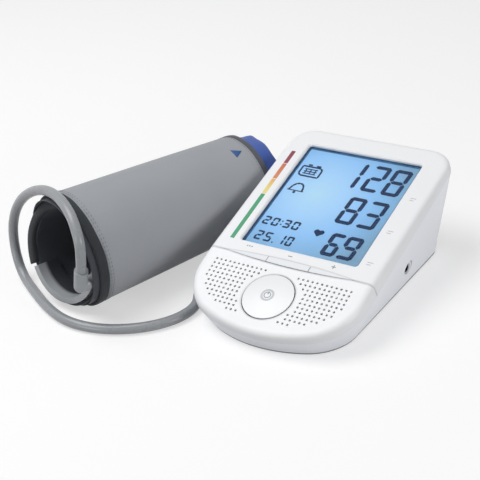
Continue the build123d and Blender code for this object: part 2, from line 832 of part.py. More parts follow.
def make_case_screws():
    screws = []
    for x, y in boss_places:
        head = Cylinder(case_screw_head, case_screw_head_height, align=on_floor)
        head = Pos(x, y, case_screw_seat - case_screw_head_height) * head
        shank = Cylinder(case_screw_radius - screw_thread_gap, case_screw_length, align=on_floor)
        shank = Pos(x, y, case_screw_seat) * shank
        screws.append(head + shank)
    return Compound(screws)


def make_pump():
    """The pump's valve head and, behind it, its motor."""
    head_x = pump_motor_start_x - pump_head_length / 2
    head = Pos(head_x, pump_y, pump_axis_height) * Box(pump_head_length, pump_head_width, pump_head_height)
    head = fillet(head.edges().filter_by(Axis.X), pump_head_corner)
    nipple_y = pump_y - pump_head_width / 2
    nipple = (Pos(manifold_x, nipple_y - pump_nipple_length / 2, manifold_height) * Rot(90, 0, 0)
              * Cylinder(pump_nipple_radius, pump_nipple_length))
    motor_x = pump_motor_start_x + pump_motor_length / 2
    motor = Rot(0, 90, 0) * Cylinder(pump_motor_radius, pump_motor_length)
    motor = Pos(motor_x, pump_y, pump_axis_height) * motor
    flats = Box(pump_motor_length + 2, far, 2 * (pump_motor_radius - pump_flat))
    motor = motor & Pos(motor_x, pump_y, pump_axis_height) * Rot(90, 0, 0) * flats
    end_x = pump_motor_start_x + pump_motor_length
    bearing = Rot(0, 90, 0) * Cylinder(pump_bearing_radius, pump_bearing_length)
    bearing = Pos(end_x + pump_bearing_length / 2, pump_y, pump_axis_height) * bearing
    return head + nipple, motor + bearing


def make_valve():
    """The solenoid release valve: a coil in a yoke with its nipple to the left."""
    coil = Pos(valve_x, manifold_y, manifold_height) * Rot(0, 90, 0) * Cylinder(valve_radius, valve_length)
    yoke = Box(valve_length - 2 * yoke_inset, yoke_width, yoke_height)
    yoke = Pos(valve_x, manifold_y, manifold_height) * yoke
    nipple_x = valve_x - valve_length / 2 - pump_nipple_length / 2
    nipple = (Pos(nipple_x, manifold_y, manifold_height) * Rot(0, 90, 0)
              * Cylinder(pump_nipple_radius, pump_nipple_length))
    return coil + yoke + nipple


def make_manifold():
    """The air junction between hose socket, pump, valve and sensor."""
    block = Pos(manifold_x, manifold_y, manifold_height) * Box(manifold_size, manifold_size, manifold_size)
    return fillet(block.edges().filter_by(Axis.Z), manifold_corner)


def tube_between(points, radii):
    """A soft tube along straight runs and tangent arcs, with its bore."""
    path = FilletPolyline(*points, radius=radii) if len(points) > 2 else Line(*points)
    start = Plane(origin=path @ 0, z_dir=path % 0)
    ring = start * (Circle(tube_radius) - Circle(tube_bore))
    return sweep(ring, path=path)


def make_air_tubes():
    half = manifold_size / 2
    z = manifold_height
    inlet_x = hose_socket_inner_x + hose_nipple_length
    run = (manifold_x - half - inlet_x) / 3
    to_socket = tube_between([
        (inlet_x, hose_socket_y, hose_socket_height),
        (inlet_x + run, hose_socket_y, hose_socket_height),
        (inlet_x + 2 * run, manifold_y, z),
        (manifold_x - half, manifold_y, z)], [tube_bend, tube_bend])
    nipple_end = pump_y - pump_head_width / 2 - pump_nipple_length
    to_pump = tube_between([(manifold_x, nipple_end, z), (manifold_x, manifold_y + half, z)], None)
    valve_end = valve_x - valve_length / 2 - pump_nipple_length
    to_valve = tube_between([(manifold_x + half, manifold_y, z), (valve_end, manifold_y, z)], None)
    return Compound([to_socket, to_pump, to_valve])


def make_sensor():
    """The pressure sensor hangs under the main board."""
    local = display_face.to_local_coords(Vector(sensor_x, sensor_y, 0))
    place = Pos(sensor_x, local.Y)
    body = extrude(display_face.offset(-main_board_depth - board_thickness) * place
                   * Rectangle(sensor_size, sensor_size), amount=-sensor_height)
    nipple = extrude(display_face.offset(-main_board_depth - board_thickness - sensor_height) * place
                     * Circle(pump_nipple_radius), amount=-sensor_nipple_length)
    return body + nipple


def make_dc_socket():
    """The power socket behind the small hole in the right wall, with its centre pin."""
    mouth = wall_x(dc_y, dc_height) - case_wall / 2 - dc_mouth_recess
    along = Rot(0, 90, 0)
    nose_length = case_wall + dc_nose_step
    nose = Pos(mouth - nose_length / 2, dc_y, dc_height) * along * Cylinder(dc_nose_radius, nose_length)
    body_x = mouth - nose_length - dc_body_length / 2
    body = Pos(body_x, dc_y, dc_height) * Box(dc_body_length, dc_body_width, dc_body_height)
    bore = along * Cylinder(dc_bore, 2 * dc_bore_depth)
    bore = Pos(mouth, dc_y, dc_height) * bore
    pin_x = mouth - dc_bore_depth - dc_pin_root + dc_pin_length / 2
    pin = Pos(pin_x, dc_y, dc_height) * along * Cylinder(dc_pin_radius, dc_pin_length)
    return nose + body - bore + pin


def make_dc_shelf():
    """The post on the base plate that carries the power socket."""
    mouth = wall_x(dc_y, dc_height) - case_wall / 2 - dc_mouth_recess
    middle = mouth - case_wall - dc_nose_step - dc_body_length / 2
    shelf = Box(dc_shelf_length, dc_shelf_width, dc_height - dc_body_height / 2, align=on_floor)
    return Pos(middle, dc_y, 0) * shelf


def make_hose_socket():
    """The air socket in the left wall: a collar, a bore for the plug and a nipple inside."""
    along = Rot(0, 90, 0)
    z, y = hose_socket_height, hose_socket_y
    collar = along * Cylinder(hose_socket_radius, hose_socket_length)
    collar = Pos(hose_socket_face_x + hose_socket_length / 2, y, z) * collar
    collar = chamfer(collar.edges().filter_by(GeomType.CIRCLE).sort_by(Axis.X)[0], hose_socket_edge)
    flange_x = -wall_x(y, z) + case_wall + hose_flange_setback
    flange = along * Cylinder(hose_socket_radius + hose_flange_margin, hose_flange_width)
    flange = Pos(flange_x + hose_flange_width / 2, y, z) * flange
    nipple = (Pos(hose_socket_inner_x + hose_nipple_length / 2, y, z) * along
              * Cylinder(hose_nipple_radius, hose_nipple_length))
    depth = plug_nose_length + plug_end_gap
    bore = Pos(hose_socket_face_x + depth / 2, y, z) * along * Cylinder(hose_socket_bore, depth)
    air = Pos(hose_socket_inner_x, y, z) * along * Cylinder(hose_socket_air, 3 * hose_nipple_length)
    return collar + flange + nipple - bore - air


def make_hose_plug():
    """The right-angled plug: a nose in the socket and an arm towards the front, sloping down."""
    along = Rot(0, 90, 0)
    z, y = hose_socket_height, hose_socket_y
    nose_radius = hose_socket_bore - plug_nose_clearance
    face = hose_socket_face_x - plug_face_gap
    nose_length = plug_nose_length + plug_face_gap
    nose = Pos(face + nose_length / 2, y, z) * along * Cylinder(nose_radius, nose_length)
    body = Pos(face - plug_body_length / 2, y, z) * along * Cylinder(plug_body_radius, plug_body_length)
    body = fillet(body.edges().filter_by(GeomType.CIRCLE).sort_by(Axis.X)[0], plug_body_edge)
    start, end = plug_arm()
    plane = Plane(origin=start, z_dir=end - start)
    reach = (end - start).length
    arm = extrude(plane * Circle(plug_arm_radius), amount=reach - plug_tip_length)
    tip = loft([(plane.offset(reach - plug_tip_length) * Circle(plug_arm_radius)).face(),
                (plane.offset(reach) * Circle(hose_radius + plug_tip_margin)).face()])
    return nose + body + arm + tip


def plug_arm():
    """The two ends of the plug's arm: inside its body, and where the hose leaves it."""
    start_x = hose_socket_face_x - plug_face_gap - plug_body_length / 2
    start = Vector(start_x, hose_socket_y, hose_socket_height)
    return start, start + Vector(0, -plug_arm_length, -plug_arm_drop)


cuff_start_x = -case_half_width - cuff_far_radius - cuff_start_distance
cuff_plane = Plane(origin=(cuff_start_x, cuff_start_y, 0), z_dir=(0, 0, 1),
                   x_dir=(cosine(cuff_heading), sine(cuff_heading), 0))


def in_cuff(along, towards_monitor, height):
    """A point of the cuff's own frame, in the object's frame."""
    return cuff_plane.from_local_coords(Vector(along, -towards_monitor, height))


def cuff_radius(along):
    """The roll narrows evenly from its near rim to its far one."""
    return cuff_near_radius + (cuff_far_radius - cuff_near_radius) * along / cuff_length


def cuff_axis_height(along):
    """The roll's middle, with its lowest half turn on the ground."""
    return cuff_radius(along) - wrap_pitch / 4 - wrap_pitch / 2


def turn_circle(index, depth, along):
    """Centre across, radius and upward sign of one half turn at a depth below the roll's skin."""
    up = 1 if index % 2 == 0 else -1
    return up * wrap_pitch / 4, cuff_radius(along) - wrap_pitch / 4 - index * wrap_pitch / 2 - depth, up


def turn_points(index, depth, along):
    """Start, middle and end of one half turn."""
    centre, radius, up = turn_circle(index, depth, along)
    z = cuff_axis_height(along)
    return [(centre + up * radius, z), (centre, z + up * radius), (centre - up * radius, z)]


def roll_section(turns, depth, thicknesses, along):
    """A strip of rolled cloth as a flat face across the roll."""
    outside = [turn_points(index, depth, along) for index in turns]
    inside = [turn_points(index, depth + thickness, along) for index, thickness in zip(turns, thicknesses)]
    arcs = outside + [points[::-1] for points in inside[::-1]]
    edges = []
    for points, following in zip(arcs, arcs[1:] + arcs[:1]):
        edges.append(ThreePointArc(*points))
        if (Vector(*points[2]) - Vector(*following[0])).length > layer_gap / 2:
            edges.append(Line(points[2], following[0]))
    return Plane(origin=(along, 0, 0), x_dir=(0, 1, 0), z_dir=(1, 0, 0)) * Face(Wire(edges))


def rolled(turns, depth, thicknesses, start, end):
    """Rolled cloth between two places along the roll."""
    near = roll_section(turns, depth, thicknesses, start)
    return between(near, roll_section(turns, depth, thicknesses, end))


def inner_edge(shift=0.0):
    """The oblique plane of the inner wraps' near edge, moved along the roll."""
    return Plane(origin=(inner_wrap_start + shift, 0, cuff_axis_height(0)),
                 z_dir=(1, inner_wrap_slope, -inner_wrap_rise))


def inner_rolled(depth, thickness, shift):
    """The near end of the inner wraps, cut obliquely."""
    rough_start = inner_wrap_start - cuff_near_radius / 2
    cloth = rolled(inner_turns, depth, [thickness] * inner_half_turns, rough_start, inner_wrap_join)
    return split(cloth, bisect_by=inner_edge(shift), keep=Keep.TOP)


def both_wraps(depth, outer_thickness, inner_thickness, start, shift):
    """A layer that runs through all the wraps and is longer in the outer ones at the far end."""
    outer = [outer_thickness] * outer_half_turns
    inner = [inner_thickness] * inner_half_turns
    middle = rolled(outer_turns + inner_turns, depth, outer + inner, inner_wrap_join, inner_wrap_end)
    near = rolled(outer_turns, depth, outer, start, inner_wrap_join)
    far_end = rolled(outer_turns, depth, outer, inner_wrap_end, cuff_length)
    return middle + far_end + near + inner_rolled(depth, inner_thickness, shift)


outer_turns = list(range(outer_half_turns))
inner_turns = list(range(outer_half_turns, outer_half_turns + inner_half_turns))
lining_depth = cover_thickness_inner + bladder_thickness + layer_gap
band_depth = lining_depth + lining_thickness + band_gap


def make_cuff():
    """The roll's cloth layers: cover, lining, bladder, bindings and the blue band at the far end."""
    thick = [cover_thickness_outer] * outer_half_turns
    cover = both_wraps(0.0, cover_thickness_outer, cover_thickness_inner, 0.0, 0.0)
    lining = both_wraps(lining_depth, lining_thickness, lining_thickness, -lining_reach, lining_lip)
    bladder = rolled(inner_turns, cover_thickness_inner, [bladder_thickness] * inner_half_turns,
                     bladder_start, inner_wrap_end - bladder_hem)
    front_binding = rolled(outer_turns, 0.0, thick, -binding_width, 0.0)
    rear_binding = rolled(outer_turns, 0.0, thick, cuff_length, cuff_length + rear_binding_width)
    band = rolled(outer_turns, band_depth, [band_thickness] * outer_half_turns, band_start,
                  cuff_length + band_reach)
    place = cuff_plane.location
    return [place * piece for piece in (cover, lining, bladder, front_binding, rear_binding, band)]


def port_section(along):
    """The hose port's pad, as a flat face across the roll: it lies on the inside of the lowest wrap."""
    centre, radius, up = turn_circle(inner_turns[1], lining_depth + lining_thickness + port_gap, along)
    z = cuff_axis_height(along)

    def at(distance, angle):
        return centre - distance * cosine(angle), z - distance * sine(angle)

    middle = (port_first_angle + port_last_angle) / 2
    inside = radius - port_thickness
    edges = [
        ThreePointArc(at(radius, port_first_angle), at(radius, middle), at(radius, port_last_angle)),
        Line(at(radius, port_last_angle), at(inside, port_last_angle)),
        ThreePointArc(at(inside, port_last_angle), at(inside, middle), at(inside, port_first_angle)),
        Line(at(inside, port_first_angle), at(radius, port_first_angle)),
    ]
    return Plane(origin=(along, 0, 0), x_dir=(0, 1, 0), z_dir=(1, 0, 0)) * Face(Wire(edges))


def nozzle_path():
    """From just before the inner wraps' edge to the elbow, and up its leaning riser."""
    edge = inner_wrap_start + inner_wrap_slope * nozzle_across - inner_wrap_rise * nozzle_below
    tilt_room = nozzle_radius * math.hypot(inner_wrap_slope, inner_wrap_rise)
    height = cuff_axis_height(0) - nozzle_below
    low = in_cuff(edge - tilt_room - nozzle_edge_gap, nozzle_across, height)
    bend = in_cuff(nozzle_along, nozzle_across, height)
    rise = in_cuff(nozzle_along, nozzle_across + sine(nozzle_lean), height + cosine(nozzle_lean)) - bend
    return low, bend, bend + rise * nozzle_riser, bend + rise * (nozzle_riser + hose_lead)


def make_nozzle():
    """The port in the cuff's mouth: a curved pad, and the elbow that turns the hose upwards."""
    low, bend, top, above = nozzle_path()
    stub = extrude(Plane(origin=bend, z_dir=low - bend) * Circle(nozzle_radius), amount=(low - bend).length)
    riser = extrude(Plane(origin=bend, z_dir=top - bend) * Circle(nozzle_radius), amount=(top - bend).length)
    knee = Pos(bend.X, bend.Y, bend.Z) * Sphere(nozzle_radius)
    reach = cuff_near_radius / 2
    pad = between(port_section(inner_wrap_start - reach),
                  port_section(inner_wrap_start + port_length + reach))
    pad = split(pad, bisect_by=inner_edge(-port_proud), keep=Keep.TOP)
    pad = split(pad, bisect_by=inner_edge(port_length), keep=Keep.BOTTOM)
    return stub + knee + riser + cuff_plane.location * pad


def hose_points():
    start, end = plug_arm()
    lead = end + (end - start).normalized() * hose_plug_lead
    low, bend, top, above = nozzle_path()
    floor = [Vector(*point) for point in hose_route_floor]
    arch = [in_cuff(*point) for point in hose_route_arch]
    return [end, lead] + floor + arch + [above, top]


def make_hose():
    """The air hose: straight runs joined by tangent arcs as large as the runs allow."""
    points = hose_points()
    radii = []
    for before, here, after in zip(points, points[1:], points[2:]):
        first, second = here - before, after - here
        turn = first.get_angle(second)
        shorter = min(first.length, second.length)
        radii.append(hose_bend_share * shorter / tangent(turn / 2))
        print("hose bend: runs %.1f and %.1f mm, turn %.1f degrees, radius %.1f mm"
              % (first.length, second.length, turn, radii[-1]))
    path = FilletPolyline(*points, radius=radii)
    section = Plane(origin=points[0], z_dir=path % 0) * (Circle(hose_radius) - Circle(hose_bore))
    hose = sweep(section, path=path)
    expected = math.pi * (hose_radius ** 2 - hose_bore ** 2) * path.length
    print("hose length %.1f mm, volume ratio %.4f" % (path.length, hose.volume / expected))
    return hose


def build_all():
    nodes = {}
    nodes["display_cover"], nodes["speaker_cover"] = make_covers()
    nodes["main_housing"] = make_main_housing()
    nodes["base_plate"] = make_base_plate() + make_dc_shelf()
    nodes["battery_door"] = make_battery_door()
    nodes["antislip_pads"] = make_pads()
    nodes["case_screws"] = make_case_screws()
    stack = make_display_stack()
    for name, piece in zip(("display_lens", "lcd_glass", "backlight", "lcd_frame", "main_board"), stack):
        nodes[name] = piece
    nodes["board_screws"] = make_board_screws()
    nodes["button_board"] = make_button_board()
    nodes["click_switches"] = make_switches()
    nodes["start_button"] = make_start_button()
    for name, centre in key_centres.items():
        nodes[name] = make_key(centre)
    nodes["speaker_left"] = make_speaker(-speaker_x)
    nodes["speaker_right"] = make_speaker(speaker_x)
    nodes["pump_head"], nodes["pump_motor"] = make_pump()
    nodes["release_valve"] = make_valve()
    nodes["air_manifold"] = make_manifold()
    nodes["air_tubes"] = make_air_tubes()
    nodes["pressure_sensor"] = make_sensor()
    nodes["dc_socket"] = make_dc_socket()
    nodes["hose_socket"] = make_hose_socket()
    for index in range(battery_count):
        nodes["battery_%d" % (index + 1)] = make_battery(index)
    nodes["battery_contacts"] = make_battery_contacts()
    nodes["battery_springs"] = make_battery_springs()
    cuff_names = ("cuff_cover", "cuff_lining", "cuff_bladder", "cuff_front_binding", "cuff_rear_binding",
                  "cuff_blue_band")
    for name, piece in zip(cuff_names, make_cuff()):
        nodes[name] = piece
    nodes["cuff_nozzle"] = make_nozzle()
    nodes["hose_plug"] = make_hose_plug()
    nodes["air_hose"] = make_hose()
    return nodes


for node_name, solid in build_all().items():
    export_step(solid, "parts/%s.step" % node_name)
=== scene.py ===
import math

import bmesh
import bpy
from mathutils import Matrix, Vector, noise


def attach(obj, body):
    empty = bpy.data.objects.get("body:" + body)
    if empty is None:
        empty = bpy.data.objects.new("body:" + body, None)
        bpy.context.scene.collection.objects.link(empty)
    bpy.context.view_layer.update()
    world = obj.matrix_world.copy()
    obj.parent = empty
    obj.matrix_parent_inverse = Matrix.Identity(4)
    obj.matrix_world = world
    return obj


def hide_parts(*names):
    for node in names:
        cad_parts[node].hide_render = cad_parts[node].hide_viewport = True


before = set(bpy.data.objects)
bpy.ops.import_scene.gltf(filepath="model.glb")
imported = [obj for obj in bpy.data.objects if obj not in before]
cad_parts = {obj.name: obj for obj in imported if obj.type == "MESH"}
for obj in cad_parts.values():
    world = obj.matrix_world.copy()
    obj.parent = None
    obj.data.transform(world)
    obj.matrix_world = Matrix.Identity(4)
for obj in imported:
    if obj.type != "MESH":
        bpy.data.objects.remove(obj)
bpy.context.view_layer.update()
print("frame loaded:", len(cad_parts), "nodes")

mm = 0.001


def tint(code):
    # a screen colour such as "c8ccd2" as linear values
    parts = [int(code[i:i + 2], 16) / 255 for i in (0, 2, 4)]
    return tuple(p / 12.92 if p <= 0.04045 else ((p + 0.055) / 1.055) ** 2.4 for p in parts)


def slopedFace(y, z, tilt):
    return Matrix.Translation((0, y * mm, z * mm)) @ Matrix.Rotation(math.radians(tilt), 4, "X")


# the monitor's three sloping faces and the cuff's own frame: x along the roll, y away from the monitor
displayFace = slopedFace(21.5, 50.1, 15.9)
stripFace = slopedFace(-33.99, 34.29, 18.2)
speakerFace = slopedFace(-33.99, 34.29, 20.5)
cuffFace = Matrix.Translation((-132.8 * mm, -76.9 * mm, 0)) @ Matrix.Rotation(math.radians(71.4), 4, "Z")


# stage, lamps and camera
studio = {
    "floorSize": 6.0, "floorColour": "bcbcbd", "floorGlow": 0.53, "skyStrength": 0.18,
    "lamps": (("keyLamp", (-0.55, -0.25, 1.15), 0.9, 12.0), ("lowLamp", (-0.4, -1.05, 0.12), 0.4, 2.4),
        ("sideLamp", (0.95, -0.12, 0.2), 0.4, 4.0))
}


def fill(tree, socket, value):
    # an input takes another node's output or a plain value
    if isinstance(value, bpy.types.NodeSocket):
        tree.links.new(value, socket)
    else:
        socket.default_value = value


def calc(tree, operation, first, second=0.0, clamp=False):
    step = tree.nodes.new("ShaderNodeMath")
    step.operation = operation
    step.use_clamp = clamp
    for socket, value in zip(step.inputs, (first, second)):
        fill(tree, socket, value)
    return step.outputs[0]


def feed(shader, label, value):
    shader.id_data.links.new(value, shader.inputs[label])


def axesOf(tree, vector):
    split = tree.nodes.new("ShaderNodeSeparateXYZ")
    tree.links.new(vector, split.inputs[0])
    return split.outputs


def ownCoords(tree):
    # the piece's own coordinates
    return tree.nodes.new("ShaderNodeTexCoord").outputs["Object"]


def seenDirectly(tree):
    # 1 where the camera, a mirror or glass looks, and 0 for the light that reaches the object
    path = tree.nodes.new("ShaderNodeLightPath")
    seen = calc(tree, "MAXIMUM", path.outputs["Is Camera Ray"], path.outputs["Is Glossy Ray"])
    return calc(tree, "MAXIMUM", seen, path.outputs["Is Transmission Ray"])


def newSurface(name, colour, roughness, metallic=0.0, **sockets):
    made = bpy.data.materials.new(name)
    made.use_nodes = True
    shader = made.node_tree.nodes["Principled BSDF"]
    shader.inputs["Base Color"].default_value = (*tint(colour), 1)
    shader.inputs["Roughness"].default_value = roughness
    shader.inputs["Metallic"].default_value = metallic
    for label, value in sockets.items():
        shader.inputs[label.replace("_", " ")].default_value = value
    made.diffuse_color = (*tint(colour), 1)
    return made, made.node_tree, shader


def linked(name, data):
    # a new object in the scene
    made = bpy.data.objects.new(name, data)
    bpy.context.scene.collection.objects.link(made)
    return made


def areaLamp(name, place, size, power):
    data = bpy.data.lights.new(name, "AREA")
    data.size = size
    data.energy = power
    lamp = linked(name, data)
    lamp.location = place
    lamp.rotation_euler = (-Vector(place)).to_track_quat("-Z", "Y").to_euler()


def buildStage():
    bm = bmesh.new()
    bmesh.ops.create_grid(bm, x_segments=1, y_segments=1, size=studio["floorSize"] / 2)
    mesh = bpy.data.meshes.new("floor")
    bm.to_mesh(mesh)
    bm.free()
    linked("floor", mesh)
    paint, tree, shader = newSurface("floorPaper", studio["floorColour"], 0.9, Specular_IOR_Level=0.1,
                                     Emission_Color=(1, 1, 1, 1))
    feed(shader, "Emission Strength", calc(tree, "MULTIPLY", seenDirectly(tree), studio["floorGlow"]))
    mesh.materials.append(paint)
    world = bpy.data.worlds.new("studioSky")
    bpy.context.scene.world = world
    world.use_nodes = True
    tree = world.node_tree
    back = tree.nodes["Background"]
    back.inputs["Color"].default_value = (1, 1, 1, 1)
    tree.links.new(calc(tree, "MAXIMUM", seenDirectly(tree), studio["skyStrength"]), back.inputs["Strength"])
    for name, place, size, power in studio["lamps"]:
        areaLamp(name, place, size, power)
    bpy.context.scene.view_settings.view_transform = "Standard"
    print("stage ready")


cameraSet = {
    "place": (0.3575, -0.5499, 0.4116), "lens": 90.0, "sensor": 36.0, "clip": (0.02, 20),
    "right": (0.8268, 0.5524, -0.1059), "up": (-0.1996, 0.4641, 0.8630),
    "back": (0.5259, -0.6924, 0.4940)
}


def buildCamera():
    data = bpy.data.cameras.new("camera")
    data.lens = cameraSet["lens"]
    data.sensor_width = cameraSet["sensor"]
    data.clip_start, data.clip_end = cameraSet["clip"]
    camera = linked("camera", data)
    turn = Matrix((cameraSet["right"], cameraSet["up"], cameraSet["back"])).transposed()
    camera.matrix_world = Matrix.Translation(cameraSet["place"]) @ turn.to_quaternion().to_matrix().to_4x4()
    bpy.context.scene.camera = camera
    print("camera ready")


buildStage()
buildCamera()


def placed(tree, kind, **values):
    # a node of a built-in kind, or of one of the groups below, with its inputs filled
    shared = not isinstance(kind, str)
    made = tree.nodes.new("ShaderNodeGroup" if shared else kind)
    if shared:
        made.node_tree = kind
    for label, value in values.items():
        fill(tree, made.inputs[label.replace("_", " ")], value)
    return made.outputs


# shared effects, each one node group; an input with no value is a vector
def newGroup(name, inputs, outputs):
    group = bpy.data.node_groups.new(name, "ShaderNodeTree")
    for label, value in inputs.items():
        kind = "NodeSocketVector" if value is None else "NodeSocketFloat"
        socket = group.interface.new_socket(name=label, in_out="INPUT", socket_type=kind)
        if value is not None:
            socket.default_value = value
    for label in outputs:
        group.interface.new_socket(name=label, in_out="OUTPUT", socket_type="NodeSocketFloat")
    return group, group.nodes.new("NodeGroupInput"), group.nodes.new("NodeGroupOutput")


def cloud(group, scale, detail, roughness=0.5):
    return placed(group, "ShaderNodeTexNoise", Vector=ownCoords(group), Scale=scale, Detail=detail,
                  Roughness=roughness)["Fac"]


def buildMouldGrain():
    # fine spark texture of a moulded surface and its slow change of tone
    group, given, made = newGroup("mouldGrain", {"Fine": 1500.0, "Broad": 18.0}, ("Grain", "Tone"))
    for source, target, detail in (("Fine", "Grain", 2.0), ("Broad", "Tone", 4.0)):
        group.links.new(cloud(group, given.outputs[source], detail), made.inputs[target])
    return group


def buildWeave():
    # plain weave over the piece's own UV map, which is in metres
    group, given, made = newGroup("plainWeave", {"Vector": None, "Pitch": 0.0006}, ("Height", "Thread"))
    lay = axesOf(group, given.outputs["Vector"])
    across, along = [calc(group, "DIVIDE", lay[axis], given.outputs["Pitch"]) for axis in "XY"]
    cell = calc(group, "ADD", calc(group, "FLOOR", across), calc(group, "FLOOR", along))
    over = calc(group, "ABSOLUTE", calc(group, "MODULO", cell, 2.0))
    warp, weft = [calc(group, "ABSOLUTE", calc(group, "SINE", calc(group, "MULTIPLY", way, math.pi)))
                  for way in (across, along)]
    lifted = calc(group, "MULTIPLY", warp, over)
    lowered = calc(group, "MULTIPLY", weft, calc(group, "SUBTRACT", 1.0, over))
    group.links.new(calc(group, "ADD", lifted, lowered), made.inputs["Height"])
    group.links.new(over, made.inputs["Thread"])
    return group


def buildHandling():
    # faint rubbed patches, as a mask
    group, given, made = newGroup("handling", {"Scale": 60.0, "Spread": 0.6}, ("Mask",))
    patches = cloud(group, given.outputs["Scale"], 6.0, 0.65)
    rise = calc(group, "SUBTRACT", patches, given.outputs["Spread"])
    group.links.new(calc(group, "MULTIPLY", rise, 6.0, True), made.inputs["Mask"])
    return group


mouldGrain = buildMouldGrain()
plainWeave = buildWeave()
handling = buildHandling()


def blendColours(tree, amount, first, second):
    mix = tree.nodes.new("ShaderNodeMix")
    mix.data_type = "RGBA"
    tree.links.new(amount, mix.inputs["Factor"])
    for socket, value in ((mix.inputs[6], first), (mix.inputs[7], second)):
        fill(tree, socket, (*tint(value), 1) if isinstance(value, str) else value)
    return mix.outputs[2]


def ranged(tree, value, low, high):
    return placed(tree, "ShaderNodeMapRange", Value=value, To_Min=low, To_Max=high)["Result"]


def banded(tree, share, stops):
    # a ramp of colours, each stop with its place from 0 to 1
    ramp = tree.nodes.new("ShaderNodeValToRGB")
    while len(ramp.color_ramp.elements) < len(stops):
        ramp.color_ramp.elements.new(0.5)
    for element, (position, colour) in zip(ramp.color_ramp.elements, stops):
        element.position = position
        element.color = (*tint(colour), 1)
    tree.links.new(share, ramp.inputs["Fac"])
    return ramp.outputs["Color"]


def raised(tree, shader, height, depth):
    bump = placed(tree, "ShaderNodeBump", Strength=1.0, Distance=depth, Height=height)
    feed(shader, "Normal", bump["Normal"])


# how far grain and wear move the roughness of each kind of surface, up and down
wear = {"plastic": (0.08, -0.06), "metal": (0.1, -0.08), "cloth": (0.06, -0.08)}


def worn(tree, shader, share, roughness, kind):
    feed(shader, "Roughness", ranged(tree, share, *[roughness + change for change in wear[kind]]))


def moulded(name, colour, shade, roughness, fine=1500.0, broad=18.0, depth=0.00002, slits=None, **sockets):
    # moulded plastic or rubber: two near tones, a fine spark texture, faint rubbing, and painted shade where
    # a mask is given
    made, tree, shader = newSurface(name, colour, roughness, **sockets)
    grain = placed(tree, mouldGrain, Fine=fine, Broad=broad)
    tone = blendColours(tree, grain["Tone"], shade, colour)
    if slits:
        # painted shade: the mask's places turn the grey of the slit shade
        tone = blendColours(tree, slits(tree), tone, slit["shade"])
    feed(shader, "Base Color", tone)
    rubbed = placed(tree, handling, Scale=broad * 4, Spread=0.58)
    tone = calc(tree, "ADD", grain["Tone"], rubbed["Mask"])
    worn(tree, shader, tone, roughness, "plastic")
    raised(tree, shader, grain["Grain"], depth)
    return made


def metal(name, colour, shade, roughness, fine):
    made, tree, shader = newSurface(name, colour, roughness, metallic=1.0)
    grain = placed(tree, mouldGrain, Fine=fine, Broad=150.0)
    feed(shader, "Base Color", blendColours(tree, grain["Tone"], shade, colour))
    worn(tree, shader, grain["Tone"], roughness, "metal")
    raised(tree, shader, grain["Grain"], 0.000008)
    return made


def cloth(name, colour, shade, pitch, roughness, depth, sheen, inner=None):
    # woven cloth on the piece's own UV map; inner gives a length along it and the colour past that
    made, tree, shader = newSurface(name, colour, roughness, Sheen_Weight=sheen, Sheen_Roughness=0.45,
                                    Specular_IOR_Level=0.25)
    own = tree.nodes.new("ShaderNodeUVMap")
    own.uv_map = "lay"
    weave = placed(tree, plainWeave, Vector=own.outputs["UV"], Pitch=pitch)
    grain = placed(tree, mouldGrain, Fine=400.0, Broad=30.0)
    tone = calc(tree, "ADD", calc(tree, "MULTIPLY", grain["Tone"], 0.8),
                calc(tree, "MULTIPLY", weave["Thread"], 0.2))
    dye = blendColours(tree, tone, shade, colour)
    if inner:
        past = calc(tree, "GREATER_THAN", axesOf(tree, own.outputs["UV"])["Y"], inner[0])
        dye = blendColours(tree, past, dye, inner[1])
    feed(shader, "Base Color", dye)
    worn(tree, shader, weave["Height"], roughness, "cloth")
    raised(tree, shader, weave["Height"], depth)
    return made


def onFace(tree, place):
    # Object coordinates turned into a face's own x, y and height
    back = place.inverted()
    turned = placed(tree, "ShaderNodeMapping", Vector=ownCoords(tree), Location=back.to_translation(),
                    Rotation=back.to_euler())
    return axesOf(tree, turned["Vector"])


# the slit round the keys' strip and the start button, with painted shade on its walls and lips and on the
# covers' rounded rim, and painted shade along the wall's foot
slit = {
    "shade": "7b7e83", "depth": 0.35 * mm, "stripHalf": (45.2 * mm, 2.5 * mm),
    "stripReach": (55.5 * mm, 4.6 * mm), "buttonY": -26 * mm, "buttonRadius": 16.9 * mm,
    "lip": 1.25 * mm, "lipShade": 0.5, "keyDepth": 0.25 * mm, "foot": 1.3 * mm,
    "rim": (0.3 * mm, 1.6 * mm), "rimShade": 0.15
}


def radiusFrom(tree, first, second):
    squares = [calc(tree, "POWER", side, 2.0) for side in (first, second)]
    return calc(tree, "SQRT", calc(tree, "ADD", *squares))


def awayFrom(tree, at, axes, middle):
    return radiusFrom(tree, *[calc(tree, "SUBTRACT", at[axis], value) for axis, value in zip(axes, middle)])


def nearness(tree, distance, reach):
    return calc(tree, "SUBTRACT", 1.0, calc(tree, "DIVIDE", calc(tree, "ABSOLUTE", distance), reach), True)


def fromStrip(tree, at):
    # distance from the outline of the keys' strip, two shallow arcs, and from the seam past its ends
    across = calc(tree, "ABSOLUTE", at["Y"])
    length, height = slit["stripHalf"]
    arc = (length ** 2 + height ** 2) / (2 * height)
    curved = calc(tree, "SUBTRACT", radiusFrom(tree, at["X"], calc(tree, "ADD", across, arc - height)), arc)
    past = calc(tree, "GREATER_THAN", calc(tree, "ABSOLUTE", at["X"]), length)
    return calc(tree, "ADD", calc(tree, "MULTIPLY", past, across),
                calc(tree, "MULTIPLY", calc(tree, "SUBTRACT", 1.0, past), calc(tree, "ABSOLUTE", curved)))
